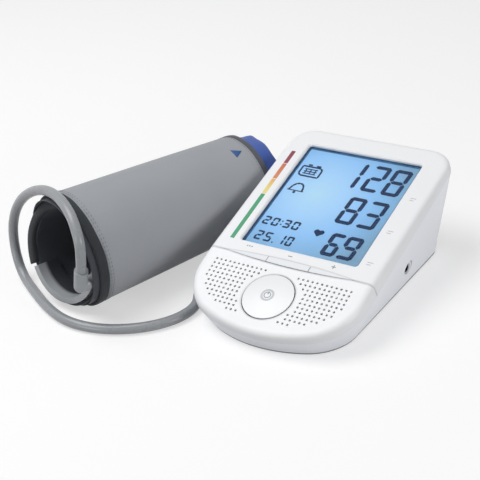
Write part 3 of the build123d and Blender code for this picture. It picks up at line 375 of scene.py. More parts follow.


# painted shade: dark slit walls, greyer lips beside them and a greyer rounded rim of the covers
def coverSlitShade(tree):
    strip, face, upper = onFace(tree, stripFace), onFace(tree, speakerFace), onFace(tree, displayFace)
    lowered = calc(tree, "MULTIPLY", calc(tree, "MAXIMUM", face["Z"], upper["Z"]), -1.0)
    deep = calc(tree, "GREATER_THAN", lowered, slit["depth"])
    fromButton = calc(tree, "SUBTRACT", face["Y"], slit["buttonY"])
    away = calc(tree, "SUBTRACT", radiusFrom(tree, face["X"], fromButton), slit["buttonRadius"])
    within = [calc(tree, "LESS_THAN", calc(tree, "ABSOLUTE", strip[axis]), reach)
              for axis, reach in zip("XY", slit["stripReach"])]
    inside = calc(tree, "MULTIPLY", *within)
    walls = calc(tree, "MULTIPLY", deep, calc(tree, "MAXIMUM", inside, calc(tree, "LESS_THAN", away, mm)))
    near = [nearness(tree, distance, slit["lip"]) for distance in (fromStrip(tree, strip), away)]
    lips = calc(tree, "MULTIPLY", calc(tree, "MAXIMUM", *near), slit["lipShade"])
    rim = calc(tree, "DIVIDE", calc(tree, "SUBTRACT", lowered, slit["rim"][0]), slit["rim"][1], True)
    soft = calc(tree, "MAXIMUM", lips, calc(tree, "MULTIPLY", rim, slit["rimShade"]))
    return calc(tree, "MAXIMUM", walls, soft)


def footShade(tree):
    # painted shade: the wall's foot is greyed where it meets the base plate, as a contact shadow
    return calc(tree, "LESS_THAN", axesOf(tree, ownCoords(tree))["Z"], slit["foot"])


def sunkShade(face):
    # painted shade on what lies more than keyDepth under this face
    return lambda tree: calc(tree, "LESS_THAN", onFace(tree, face)["Z"], -slit["keyDepth"])


# finishes for the nodes that keep their own shape
finishes = {}
# the masks in the white parts' rows paint shade into slit walls, rims, sunk flanges and the wall's foot
for name, colour, shade, roughness, more in (
        ("caseWhite", "f8f9fb", "f3f4f7", 0.42, {"fine": 2200, "depth": 0.000012, "slits": coverSlitShade}),
        ("sideWhite", "f3f5fa", "edf0f6", 0.45, {"fine": 2200, "depth": 0.000014, "slits": footShade}),
        ("baseGrey", "9a9ea5", "8e929a", 0.55, {"depth": 0.00003}),
        ("keyWhite", "f0f2f5", "e8ebf0", 0.38, {"fine": 2000, "depth": 0.00001, "slits": sunkShade(stripFace)}),
        ("buttonWhite", "f6f7f9", "f0f2f5", 0.34,
            {"fine": 2400, "depth": 0.000008, "slits": sunkShade(speakerFace)}),
        ("padRubber", "2a2b2d", "202123", 0.8, {"fine": 900, "depth": 0.00004}),
        ("naturalNylon", "dfdfd8", "d3d3cb", 0.5, {}),
        ("innerBlack", "1d1e20", "151617", 0.6, {}),
        ("siliconeTube", "b3b5b6", "a5a7a8", 0.45, {"depth": 0.00001}),
        ("plugGrey", "a4a7ab", "96999e", 0.42, {"fine": 1400}),
        ("diffuser", "f1f4f7", "e6ebf0", 0.35, {})):
    finishes[name] = moulded(name, colour, shade, roughness, **more)
for name, colour, shade, roughness, fine in (("screwSteel", "b9bbbf", "9fa1a6", 0.38, 700),
                                             ("nickel", "d6d3cc", "c2beb5", 0.25, 700),
                                             ("motorCan", "b4b6ba", "a0a2a7", 0.35, 300)):
    finishes[name] = metal(name, colour, shade, roughness, fine)


# the cuff's roll: a spiral of half turns, whose inner wraps are cut obliquely at the near end
roll = {
    "nearRadius": 39.7 * mm, "farRadius": 34.6 * mm, "pitch": 3.3 * mm, "length": 134.0 * mm,
    "flat": (0.134, 0.53), "halfTurns": 5, "steps": 26, "cells": 44, "coverThick": 2.0 * mm,
    "liningDepth": 2.2 * mm, "liningThick": 0.8 * mm, "liningNear": -11.0 * mm, "liningBehind": 0.8 * mm,
    "innerNear": -8.7 * mm, "innerFar": 114.0 * mm, "innerSlope": 0.183, "innerRise": 0.244,
    "fold": 0.35 * mm, "foldLong": 0.09, "foldRound": 3.2, "curlLong": 0.02, "curlRound": 4, "curl": 1.5,
    "wavy": 1.2 * mm, "wavyRound": 2.4, "wavySeed": 7.0, "edgeReach": 8.0 * mm, "lowest": 0.15 * mm,
    "cutBetween": (2.0, 2.35), "darkFrom": 0.246
}

def rollRadius(x):
    return roll["nearRadius"] + (roll["farRadius"] - roll["nearRadius"]) * x / roll["length"]


def rollHeight(x):
    return rollRadius(x) - roll["pitch"] * 0.75


def rollCentre(index):
    return roll["pitch"] / 4 * (1 if index % 2 == 0 else -1)


def turnRadius(x, index):
    # the outer radius of one half turn
    return rollRadius(x) - roll["pitch"] / 4 - roll["pitch"] / 2 * index


# how far behind the oblique edge the port's pad stays pale, and from where it is painted dark as shade inside
# the roll
port = {"pale": 1.5 * mm, "dark": 4.0 * mm}


def portRubber():
    # the elbow and the lip of its port are pale, and further in the port's pad gets painted shade, dark as if
    # shaded inside the roll's mouth
    made, tree, shader = newSurface("portRubber", "9da0a4", 0.36)
    grain = placed(tree, mouldGrain, Fine=900.0, Broad=60.0)
    spot = onFace(tree, cuffFace)
    slope = calc(tree, "ADD", spot["X"], calc(tree, "MULTIPLY", spot["Y"], roll["innerSlope"]))
    height = calc(tree, "SUBTRACT", spot["Z"], rollHeight(0))
    edge = calc(tree, "SUBTRACT", slope, calc(tree, "MULTIPLY", height, roll["innerRise"]))
    depth = calc(tree, "SUBTRACT", edge, roll["innerNear"] + port["pale"])
    shadeInwards = calc(tree, "DIVIDE", depth, port["dark"] - port["pale"], True)
    lip = blendColours(tree, grain["Tone"], "94979b", "a5a8ac")
    feed(shader, "Base Color", blendColours(tree, shadeInwards, lip, "2c2e33"))
    raised(tree, shader, grain["Grain"], 0.00001)
    return made


def boardMask():
    # green solder mask with copper tracks showing faintly through it
    made, tree, shader = newSurface("solderMask", "1f6b3d", 0.4, Coat_Weight=0.3)
    tracks = placed(tree, "ShaderNodeTexBrick", Vector=ownCoords(tree), Scale=120.0, Mortar_Size=0.09,
                    Color1=(*tint("1c6238"), 1), Color2=(*tint("1f6b3d"), 1), Mortar=(*tint("2f8a54"), 1))
    feed(shader, "Base Color", tracks["Color"])
    raised(tree, shader, tracks["Fac"], 0.00003)
    return made


sleeveHalf = 24.6 * mm


def cellSleeve():
    # a plain sleeve with bare metal ends
    made, tree, shader = newSurface("cellSleeve", "3d5868", 0.35)
    ends = calc(tree, "GREATER_THAN", calc(tree, "ABSOLUTE", axesOf(tree, ownCoords(tree))["X"]), sleeveHalf)
    grain = placed(tree, mouldGrain, Fine=300.0, Broad=40.0)
    sleeve = blendColours(tree, grain["Tone"], "35505f", "425f70")
    feed(shader, "Base Color", blendColours(tree, ends, sleeve, "c9c8c4"))
    feed(shader, "Roughness", ranged(tree, grain["Grain"], 0.3, 0.42))
    return made


inlet = {"place": (20.9 * mm, 13.7 * mm), "bore": 2.95 * mm, "pin": 0.9 * mm}


def powerSocket():
    # a pale nose, a black bore and a bare metal pin, told apart by their distance from the inlet's axis
    made, tree, shader = newSurface("powerSocket", "b9bcc1", 0.42)
    away = awayFrom(tree, axesOf(tree, ownCoords(tree)), "YZ", inlet["place"])
    pin = calc(tree, "LESS_THAN", away, inlet["pin"])
    grain = placed(tree, mouldGrain, Fine=900.0, Broad=90.0)
    nose = blendColours(tree, grain["Tone"], "b4b7bc", "c6c9ce")
    bored = blendColours(tree, calc(tree, "LESS_THAN", away, inlet["bore"]), nose, "141517")
    feed(shader, "Base Color", blendColours(tree, pin, bored, "cfcbc2"))
    feed(shader, "Metallic", pin)
    raised(tree, shader, grain["Grain"], 0.00001)
    return made


glow = {
    "centre": (-16 * mm, 6 * mm), "reach": 64 * mm, "strength": 0.74, "paint": 0.22,
    "stops": ((0.0, "a9d4ee"), (0.3, "9bc9f1"), (0.58, "84bbec"), (0.8, "76acd8"), (1.0, "6a97b6"))
}


def litGlass():
    # the backlit display: brightest left of its middle and duller towards the right
    made, tree, shader = newSurface("litGlass", "8cc2ec", 0.3, Emission_Strength=glow["strength"])
    away = awayFrom(tree, onFace(tree, displayFace), "XY", glow["centre"])
    light = banded(tree, calc(tree, "DIVIDE", away, glow["reach"]), glow["stops"])
    shade = tree.nodes.new("ShaderNodeMix")
    shade.data_type = "RGBA"
    shade.blend_type = "MULTIPLY"
    shade.inputs["Factor"].default_value = 1.0
    tree.links.new(light, shade.inputs[6])
    shade.inputs[7].default_value = (glow["paint"], glow["paint"], glow["paint"], 1)
    feed(shader, "Base Color", shade.outputs[2])
    feed(shader, "Emission Color", light)
    return made


finishes.update(solderMask=boardMask(), cellSleeve=cellSleeve(), litGlass=litGlass(),
                powerSocket=powerSocket(), portRubber=portRubber())

dressed = {
    "caseWhite": ("display_cover", "speaker_cover"),
    "sideWhite": ("main_housing",),
    "baseGrey": ("base_plate", "battery_door"),
    "keyWhite": ("key_left", "key_middle", "key_right"),
    "buttonWhite": ("start_button",),
    "padRubber": ("antislip_pads",),
    "screwSteel": ("case_screws", "board_screws"),
    "nickel": ("battery_contacts", "battery_springs"),
    "motorCan": ("pump_motor",),
    "naturalNylon": ("pump_head", "air_manifold", "lcd_frame"),
    "innerBlack": ("click_switches", "speaker_left", "speaker_right", "release_valve", "pressure_sensor"),
    "powerSocket": ("dc_socket",),
    "siliconeTube": ("air_tubes",),
    "plugGrey": ("hose_socket", "hose_plug"),
    "portRubber": ("cuff_nozzle",),
    "diffuser": ("backlight",),
    "solderMask": ("main_board", "button_board"),
    "cellSleeve": ("battery_1", "battery_2", "battery_3", "battery_4"),
    "litGlass": ("lcd_glass",),
}

for finish, names in dressed.items():
    for name in names:
        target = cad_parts[name]
        target.data.materials.clear()
        target.data.materials.append(finishes[finish])
print("finishes ready")


def toPiece(bm, name, material, body="case", place=None, smooth=True, outward=True):
    # a finished bmesh as a piece that rides on a body
    if place is not None:
        bmesh.ops.transform(bm, matrix=place, verts=bm.verts)
    if outward:
        bmesh.ops.recalc_face_normals(bm, faces=bm.faces)
    mesh = bpy.data.meshes.new(name)
    bm.to_mesh(mesh)
    bm.free()
    mesh.materials.append(material)
    mesh.polygons.foreach_set("use_smooth", [smooth] * len(mesh.polygons))
    piece = linked(name, mesh)
    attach(piece, body)
    return piece


# the air hose: out of the plug, over the floor, up in an arch and down into the cuff's elbow
hose = {
    "diameter": 6.6 * mm, "length": 0.369,
    "route": ((-61.9, -37.0, 10.0), (-61.9, -47.63, 7.17), (-56, -58, 3.7), (-57.5, -73, 3.4),
        (-67, -88, 3.4), (-82.5, -100, 3.4), (-102, -107.5, 3.4), (-124, -108.5, 3.4),
        (-146, -101, 3.4), (-167, -90, 3.6), (-187.0, -79.1, 5.0), (-196.2, -73.1, 19.0),
        (-196.2, -69.9, 39.5), (-184.4, -69.9, 59.0), (-162.6, -74.2, 73.4), (-139.6, -80.9, 79.4),
        (-113.2, -95.9, 79.2), (-101.2, -104.4, 67.6), (-101.8, -104.9, 54.6),
        (-105.9, -103.4, 42.5))
}


def buildHose():
    rubber = moulded("hoseRubber", "999ca0", "8e9195", 0.28, fine=500, broad=40, depth=0.000006)
    data = bpy.data.curves.new("airHose", "CURVE")
    data.dimensions = "3D"
    line = data.splines.new("NURBS")
    line.points.add(len(hose["route"]) - 1)
    for point, place in zip(line.points, hose["route"]):
        point.co = (*[c * mm for c in place], 1)
    line.order_u = 3
    line.use_endpoint_u = True
    data.resolution_u = 12
    data.bevel_depth = hose["diameter"] / 2
    data.bevel_resolution = 6
    data.use_fill_caps = True
    data.materials.append(rubber)
    piece = linked("airHose", data)
    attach(piece, "case")
    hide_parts("air_hose")
    print("hose ready")


buildHose()


# the rolled cuff: cloth sheets in a flat spiral of half turns that narrows away from the user
def narrowed(point, index):
    # what was spun at the near rim's size, moved to the roll's size at its own place
    centre, start = rollCentre(index), rollHeight(0)
    offset = Vector((point.y - centre, point.z - start))
    share = 1 + (rollRadius(point.x) - rollRadius(0)) / max(offset.length, mm)
    return Vector((point.x, centre + offset.x * share, rollHeight(point.x) + offset.y * share))


def foldLift(x, y, z):
    # how far the cloth stands out in its soft folds, which run along the roll
    angle = math.atan2(y, z - rollHeight(x))
    spot = (x / roll["foldLong"], math.cos(angle) * roll["foldRound"], math.sin(angle) * roll["foldRound"])
    return noise.noise(Vector(spot)) * roll["fold"]


def outwardAt(point):
    return Vector((0, point.y, point.z - rollHeight(point.x))).normalized()


def unevenness(way, pace, seed):
    # slow noise round the roll; pace says how fast it changes
    return noise.noise(Vector((way.z * pace, way.y * pace, seed)))


def onRoll(x, degrees, proud=0.0):
    # a point on the outer turn, by its angle from the top towards the monitor
    index = 0 if abs(degrees) <= 90 else 1
    radius = turnRadius(x, index)
    turn = math.radians(degrees)
    point = Vector((x, rollCentre(index) - radius * math.sin(turn), rollHeight(x) + radius * math.cos(turn)))
    return point + outwardAt(point) * (foldLift(*point) + proud)


def unrolled(bm):
    # writes the UV map "lay", in metres: along the roll and along the cloth
    cells, steps = roll["cells"], roll["steps"]
    layer = bm.loops.layers.uv.new("lay")
    bm.verts.index_update()
    lengths = [0.0]
    for index in range(roll["halfTurns"] * steps):
        lengths.append(lengths[-1] + turnRadius(0, index // steps) * math.pi / steps)
    for face in bm.faces:
        for loop in face.loops:
            loop[layer].uv = (loop.vert.co.x, lengths[loop.vert.index // (cells + 1)])


def rolledSheet(depth, near, far):
    # a row of points spun through the half turns; near and far give the cloth's two edges at each angle
    cells, steps = roll["cells"], roll["steps"]
    bm = bmesh.new()
    ends = [bm.verts.new((x, rollRadius(0) - depth, rollHeight(0))) for x in (0.0, 1.0)]
    bmesh.ops.subdivide_edges(bm, edges=[bm.edges.new(ends)], cuts=cells - 1)
    row = bm.verts[:] + bm.edges[:]
    for index in range(roll["halfTurns"]):
        turned = bmesh.ops.spin(bm, geom=row, cent=(0, rollCentre(index), rollHeight(0)), axis=(1, 0, 0),
                                angle=math.pi, steps=steps, use_merge=False)
        row = turned["geom_last"]
    bm.verts.index_update()
    for vert in bm.verts:
        ring = vert.index // (cells + 1)
        angle = math.pi * ring / steps
        share = vert.co.x
        vert.co.x = near(angle, vert.co) * (1 - share) + far(angle, vert.co) * share
        vert.co = narrowed(vert.co, min(ring // steps, roll["halfTurns"] - 1))
    return bm


def stepBetween(value, low, high):
    t = min(1.0, max(0.0, (value - low) / (high - low)))
    return t * t * (3 - 2 * t)


def innerShare(angle):
    # 0 on the outer turn and 1 on the inner ones, changing on the side away from the monitor
    return stepBetween(angle / math.pi, *roll["cutBetween"])


def innerEdge(point):
    # the inner wraps' near edge is cut obliquely
    return roll["innerNear"] - roll["innerSlope"] * point.y + roll["innerRise"] * (point.z - rollHeight(0))


def softened(bm):
    # soft folds and an uneven near edge; nothing sinks into the floor
    for vert in bm.verts:
        way = outwardAt(vert.co)
        edge = math.exp(-abs(vert.co.x - innerEdge(vert.co)) / roll["edgeReach"])
        spot = (vert.co.x / roll["curlLong"], way.z * roll["curlRound"], way.y * roll["curlRound"])
        curl = noise.noise(Vector(spot)) * roll["fold"] * roll["curl"] * edge
        vert.co += way * (foldLift(*vert.co) + curl)
        vert.co.x += unevenness(way, roll["wavyRound"], roll["wavySeed"]) * roll["wavy"] * edge
        vert.co.z = max(vert.co.z, roll["lowest"])


def sheetPiece(bm, name, material, thickness, replaced):
    unrolled(bm)
    middle = bm.faces[:][len(bm.faces) // 3]
    if middle.normal.dot(outwardAt(middle.calc_center_median())) < 0:
        bmesh.ops.reverse_faces(bm, faces=bm.faces)
    piece = toPiece(bm, name, material, place=cuffFace, outward=False)
    wall = piece.modifiers.new("wall", "SOLIDIFY")
    wall.thickness = thickness
    wall.offset = -1
    soft = piece.modifiers.new("soft", "SUBSURF")
    soft.levels = 1
    soft.render_levels = 1
    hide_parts(*replaced)


def buildCuff():
    # the inner wraps show the cover's dark coated side
    dark = (roll["darkFrom"], "3a3c41")
    outerCloth = cloth("cuffNylon", "a6a9ae", "9b9ea3", 0.0007, 0.62, 0.00003, 0.2, dark)
    innerCloth = cloth("cuffLining", "4a4d54", "3c3f45", 0.0006, 0.7, 0.00004, 0.15)

    def coverNear(angle, point):
        return innerShare(angle) * innerEdge(point)

    def coverFar(angle, point):
        return roll["length"] + innerShare(angle) * (roll["innerFar"] - roll["length"])

    def liningNear(angle, point):
        share = innerShare(angle)
        return (1 - share) * roll["liningNear"] + share * (innerEdge(point) + roll["liningBehind"])

    cover = rolledSheet(0.0, coverNear, coverFar)
    softened(cover)
    sheetPiece(cover, "cuffCover", outerCloth, roll["coverThick"],
               ("cuff_cover", "cuff_bladder"))
    lining = rolledSheet(roll["liningDepth"], liningNear, coverFar)
    softened(lining)
    sheetPiece(lining, "cuffLiningSheet", innerCloth, roll["liningThick"], ("cuff_lining",))
    print("cuff cloth ready")


# the tapes round the cuff's rims and the blue band inside its far end, each an oval section
binding = {
    "steps": 44, "ends": 20, "squareness": 0.6, "frontWidth": 6.4 * mm, "rearWidth": 4.4 * mm,
    "thick": 2.9 * mm, "proud": 0.3 * mm, "frontIn": 0.4 * mm, "rearIn": 1.2 * mm,
    "innerWidth": 5.6 * mm, "innerThick": 6.0 * mm, "innerRagged": 2.2 * mm, "innerEarly": 28,
    "innerMiddle": 1.0 * mm, "innerDepth": 3.5 * mm, "blueIn": 1.0 * mm,
    "blueWidth": 34 * mm, "blueThick": 2.0 * mm, "blueDepth": 3.5 * mm, "blueRagged": 1.8 * mm,
    "raggedAlong": (2.1, 3.0), "raggedOut": (3.3, 5.0), "outShare": 0.4, "lowest": 0.1 * mm
}


def roundedBand(name, middle, depth, width, thick, material, replaced, ragged=0.0, turns=2,
                early=0.0, edge=None):
    # an oval section spun through half turns, closed at both ends
    # early is how much lower it starts, and edge shifts it along the roll
    bm = bmesh.new()
    bmesh.ops.create_circle(bm, segments=binding["ends"], radius=1.0)
    for vert in bm.verts:
        vert.co = Vector([abs(c) ** binding["squareness"] * math.copysign(1, c) for c in vert.co.xy] + [0])
    move = Matrix.Translation((middle, rollRadius(0) - depth - thick / 2, rollHeight(0)))
    bmesh.ops.transform(bm, matrix=move @ Matrix.Diagonal((width / 2, thick / 2, 1, 1)), verts=bm.verts)
    bmesh.ops.rotate(bm, verts=bm.verts, cent=(0, rollCentre(0), rollHeight(0)),
                     matrix=Matrix.Rotation(-early, 3, "X"))
    row = bm.verts[:] + bm.edges[:]
    for index in range(turns):
        turned = bmesh.ops.spin(bm, geom=row, cent=(0, rollCentre(index), rollHeight(0)), axis=(1, 0, 0),
                                angle=math.pi + early, steps=binding["steps"], use_merge=False)
        row = turned["geom_last"]
    bmesh.ops.holes_fill(bm, edges=[e for e in bm.edges if e.is_boundary], sides=0)
    for vert in bm.verts:
        vert.co.x += edge(vert.co) if edge else 0
        vert.co = narrowed(vert.co, 0 if early or vert.co.z >= rollHeight(0) else 1)
        way = outwardAt(vert.co)
        vert.co += way * foldLift(*vert.co)
        share = stepBetween(vert.co.x, middle, middle + width / 2)
        vert.co.x += unevenness(way, *binding["raggedAlong"]) * ragged * share
        vert.co += way * unevenness(way, *binding["raggedOut"]) * ragged * binding["outShare"] * share
        vert.co.z = max(vert.co.z, binding["lowest"])
    layer = bm.loops.layers.uv.new("lay")
    for face in bm.faces:
        centre = face.calc_center_median()
        base = math.atan2(centre.y, centre.z - rollHeight(centre.x))
        for loop in face.loops:
            offset = Vector((loop.vert.co.y, loop.vert.co.z - rollHeight(loop.vert.co.x)))
            angle = math.atan2(offset.x, offset.y)
            angle += math.tau if base - angle > math.pi else -math.tau if angle - base > math.pi else 0
            loop[layer].uv = (loop.vert.co.x + offset.length, angle * roll["nearRadius"])
    piece = toPiece(bm, name, material, place=cuffFace)
    if replaced:
        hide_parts(*replaced)


def buildBindings():
    tape = cloth("bindingTape", "34373b", "2a2d31", 0.0009, 0.75, 0.00008, 0.15)
    edgeTape = cloth("edgeTape", "5c5f65", "505359", 0.0009, 0.7, 0.00008, 0.15)
    blue = cloth("blueNylon", "4b68b8", "405ca8", 0.0006, 0.5, 0.00003, 0.2)
    front, rear, thick = binding["frontWidth"], binding["rearWidth"], binding["thick"]
    roundedBand("cuffFrontTape", binding["frontIn"] - front / 2, -binding["proud"], front, thick, tape,
                ("cuff_front_binding",))
    roundedBand("cuffRearTape", roll["length"] + rear / 2 - binding["rearIn"], -binding["proud"], rear, thick,
                edgeTape, ("cuff_rear_binding",))
    roundedBand("cuffInnerTape", binding["innerMiddle"], binding["innerDepth"], binding["innerWidth"],
                binding["innerThick"], tape, (), binding["innerRagged"], 1,
                math.radians(binding["innerEarly"]), innerEdge)
    roundedBand("cuffBlueBand", roll["length"] - binding["blueIn"], binding["blueDepth"],
                binding["blueWidth"], binding["blueThick"], blue, ("cuff_blue_band",),
                binding["blueRagged"])
    print("bindings ready")


# short stitches along the three seams of the outer turn; angles are degrees from the top
stitch = {
    "rows": (1.6 * mm, 3.2 * mm, 131.6 * mm), "first": -84, "last": 264, "every": 4, "proud": 0.05 * mm,
    "size": (0.85 * mm, 0.22 * mm, 0.2 * mm)
}


def buildStitches():
    thread = moulded("seamThread", "85888d", "777a7f", 0.7, fine=3000, broad=200, depth=0.00002)
    across = Vector((1, 0, 0))
    bm = bmesh.new()
    for x in stitch["rows"]:
        for angle in range(stitch["first"], stitch["last"], stitch["every"]):
            here = onRoll(x, angle, stitch["proud"])
            along = (onRoll(x, angle + 0.5) - onRoll(x, angle - 0.5)).normalized()
            turn = Matrix((along, across, along.cross(across).normalized())).transposed().to_4x4()
            place = Matrix.Translation(here) @ turn @ Matrix.Diagonal((*stitch["size"], 1))
            bmesh.ops.create_icosphere(bm, subdivisions=1, radius=1.0, matrix=place)
    toPiece(bm, "cuffStitches", thread, place=cuffFace)
    print("stitches ready")


# a plain blue triangle printed near the far rim; along the roll in mm, round it in degrees
mark = {"x": 122.6, "angle": 24.8, "long": 4.5, "wide": 7.5, "proud": 0.12 * mm, "thick": 0.3 * mm, "cuts": 5}


def buildArteryMark():
    markInk = moulded("markBlue", "2c5a96", "264f86", 0.6, fine=900, broad=90, depth=0.00001)
    bm = bmesh.new()
    made = bmesh.ops.create_circle(bm, cap_ends=True, segments=3, radius=1.0)
    first = made["verts"][0].co
    bmesh.ops.rotate(bm, verts=bm.verts, matrix=Matrix.Rotation(-math.atan2(first.y, first.x), 3, "Z"))
    bmesh.ops.subdivide_edges(bm, edges=bm.edges, cuts=mark["cuts"], use_grid_fill=True)
    bmesh.ops.triangulate(bm, faces=bm.faces)
    for vert in bm.verts:
        angle = mark["angle"] + mark["wide"] * vert.co.y
        vert.co = onRoll((mark["x"] + mark["long"] * vert.co.x) * mm, angle, mark["proud"])
    skin = bmesh.ops.extrude_face_region(bm, geom=bm.faces[:])
    for item in skin["geom"]:
        if isinstance(item, bmesh.types.BMVert):
            item.co -= outwardAt(item.co) * mark["thick"]
    toPiece(bm, "cuffMark", markInk, place=cuffFace)


buildCuff()
buildBindings()
buildStitches()
buildArteryMark()


# the clear pane over the display, and a dark edge round the glass under it, which is painted shade of the
# window's recess
pane = {
    "size": (88.6 * mm, 98.1 * mm), "corner": 2.0 * mm, "depth": 2.25 * mm, "thick": 0.85 * mm,
    "edgeOuter": (85.4 * mm, 94.9 * mm), "edgeWidth": 2.4 * mm, "edgeDepth": 3.41 * mm,
    "edgeThick": 0.06 * mm
}


def onDisplay(depth, shift=(0, 0)):
    return displayFace @ Matrix.Translation((*shift, -depth))


def printed(bm, name, material, place, body="case"):
    toPiece(bm, name, material, body=body, place=place, smooth=False)


def bevelled(bm, edges, height, offset, segments):
    # takes off the upright edges of a flat body of this height
    upright = [e for e in edges if abs((e.verts[0].co - e.verts[1].co).z) > height / 2]
    bmesh.ops.bevel(bm, geom=upright, affect="EDGES", offset=offset, segments=segments, profile=0.5,
                    material=-1)


def buildPane():
    clear, tree, shader = newSurface("clearAcrylic", "fbfdff", 0.06, Transmission_Weight=1.0, IOR=1.2,
                                     Specular_IOR_Level=0.1)
    grain = placed(tree, mouldGrain, Fine=1500.0, Broad=40.0)
    feed(shader, "Roughness", ranged(tree, grain["Tone"], 0.04, 0.09))
    bm = bmesh.new()
    size = Matrix.Diagonal((*pane["size"], pane["thick"], 1))
    bmesh.ops.create_cube(bm, size=1.0, matrix=Matrix.Translation((0, 0, -pane["thick"] / 2)) @ size)
    bevelled(bm, bm.edges, pane["thick"], pane["corner"], 5)
    piece = toPiece(bm, "windowPane", clear, place=onDisplay(pane["depth"]),
                    smooth=False)
    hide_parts("display_lens")
    # painted shade: a dark blue frame round the glass, for the shade of the window's recess
    recessShadeInk = moulded("recessShadeInk", "3c6491", "33597f", 0.6, 900, 60, 0.000002, Specular_IOR_Level=0.05)
    bm = bmesh.new()
    bmesh.ops.create_grid(bm, x_segments=1, y_segments=1, size=0.5,
                          matrix=Matrix.Diagonal((*pane["edgeOuter"], 1, 1)))
    middle = bm.faces[:]
    bmesh.ops.inset_region(bm, faces=middle, thickness=pane["edgeWidth"], use_boundary=True,
                           use_even_offset=True)
    bmesh.ops.delete(bm, geom=middle, context="FACES")
    raisedUp(bm, bm.faces[:], pane["edgeThick"])
    printed(bm, "displayEdge", recessShadeInk, onDisplay(pane["edgeDepth"]))
    print("pane ready")


# what the display shows, placed as seen through the pane: figures, their dots, a heart, and the plain
# strokes of a memory card with its rows and of a small bell
# each figure has its left, top, bottom, width and sign
readout = {
    "depth": 3.42 * mm, "shift": (-2.69 * mm, 2.71 * mm), "thick": 0.1, "stroke": 2.9, "thin": 1.35,
    "fine": 0.85, "oneWidth": 2.4, "dot": 0.6, "slant": 0.05, "slantFrom": -15, "bigFrom": 3,
    "smallSlant": 0.3,
    "big": ((4.4, 38.6, 14.2, 12.2, "1"), (11.2, 38.6, 14.2, 12.0, "2"), (25.9, 38.6, 14.2, 12.4, "8"),
        (10.4, 7.6, -16.8, 12.2, "8"), (25.6, 7.6, -16.8, 12.6, "3"),
        (16.0, -25.0, -44.6, 10.0, "6"), (27.2, -25.0, -44.6, 11.2, "9")),
    "small": ((-35.4, -23.4, -30.6, 5.0, "2"), (-28.8, -23.4, -30.6, 5.0, "0"),
        (-20.4, -23.0, -30.2, 5.0, "3"), (-13.8, -23.0, -30.2, 5.0, "0"),
        (-33.4, -36.4, -44.4, 5.2, "2"), (-26.6, -36.4, -44.4, 5.2, "5"),
        (-16.6, -36.0, -44.2, 4.6, "1"), (-10.6, -36.0, -44.2, 4.6, "0")),
    "dots": ((-22.1, -25.2), (-22.1, -28.2), (-19.6, -44.0)), "heart": ((6.0, -28.4), 7.0),
    "signs": (("thin", (-35.0, 26.2), (-21.6, 26.2), (-19.8, 24.4), (-19.8, 17.2), (-33.2, 17.2),
        (-35.0, 19.0), (-35.0, 26.2)),
        ("thin", (-31.8, 27.8), (-28.6, 27.8)), ("thin", (-25.6, 27.6), (-22.0, 27.6)),
        ("fine", (-32.4, 23.8), (-22.6, 23.8)), ("fine", (-32.4, 21.7), (-22.6, 21.7)),
        ("fine", (-32.4, 19.6), (-22.6, 19.6)), ("fine", (-31.0, 24.4), (-31.0, 19.0)),
        ("fine", (-27.5, 24.4), (-27.5, 19.0)), ("fine", (-24.0, 24.4), (-24.0, 19.0)),
        ("thin", (-33.6, 3.0), (-32.6, 6.6), (-30.6, 9.2), (-28.2, 9.8), (-26.0, 9.2),
        (-24.4, 6.6), (-23.8, 3.0)),
        ("fine", (-34.8, 2.8), (-22.6, 2.8))),
    "clapper": ((-28.8, 1.2), 1.1)
}

segmentSets = {
    "0": "abcdef", "1": "bc", "2": "abged", "3": "abgcd", "5": "afgcd", "6": "afgedc",
    "8": "abcdefg", "9": "abcdfg"
}


def raisedUp(bm, faces, thick):
    # gives a flat shape its thickness
    lifted = bmesh.ops.extrude_face_region(bm, geom=faces)
    top = [item for item in lifted["geom"] if isinstance(item, bmesh.types.BMVert)]
    bmesh.ops.translate(bm, vec=(0, 0, thick), verts=top)


# shares of a bar's width: the gap between a figure's segments, and what the bevel takes at each kind's ends
shares = {"gap": 0.12, "segment": 0.48, "stroke": 0.3, "sign": 0.2, "band": 0.06}


def flatBar(bm, start, end, width, thick, kind="segment"):
    # a flat bar between two points of a face
    run = Vector(end) - Vector(start)
    middle = (Vector(end) + Vector(start)) / 2
    turn = Matrix.Rotation(math.atan2(run.y, run.x), 4, "Z")
    place = Matrix.Translation((middle.x, middle.y, thick / 2)) @ turn
    made = bmesh.ops.create_cube(bm, size=1.0, matrix=place @ Matrix.Diagonal((run.length, width, thick, 1)))
    edges = {e for v in made["verts"] for e in v.link_edges}
    bevelled(bm, edges, thick, width * shares[kind], 1)


def figure(bm, sign, left, top, bottom, width, stroke, thick):
    gap = stroke * shares["gap"]
    right = left + width
    middle = (top + bottom) / 2
    half = stroke / 2
    lines = {
        "a": ((left + gap, top - half), (right - gap, top - half)),
        "d": ((left + gap, bottom + half), (right - gap, bottom + half)),
        "g": ((left + gap + half, middle), (right - gap - half, middle)),
        "f": ((left + half, top - gap), (left + half, middle + gap)),
        "b": ((right - half, top - gap), (right - half, middle + gap)),
        "e": ((left + half, middle - gap), (left + half, bottom + gap)),
        "c": ((right - half, middle - gap), (right - half, bottom + gap)),
    }
    for segment in segmentSets[sign]:
        flatBar(bm, *lines[segment], stroke, thick)


def scaled(bm, factor):
    bmesh.ops.scale(bm, vec=(factor, factor, factor), verts=bm.verts)


def ringShape(bm, radius, width, thick, segments):
    # a flat ring: two circles bridged into a band
    edges = []
    for reach in (radius + width / 2, radius - width / 2):
        made = bmesh.ops.create_circle(bm, segments=segments, radius=reach)
        edges += {e for v in made["verts"] for e in v.link_edges}
    raisedUp(bm, bmesh.ops.bridge_loops(bm, edges=edges)["faces"], thick)


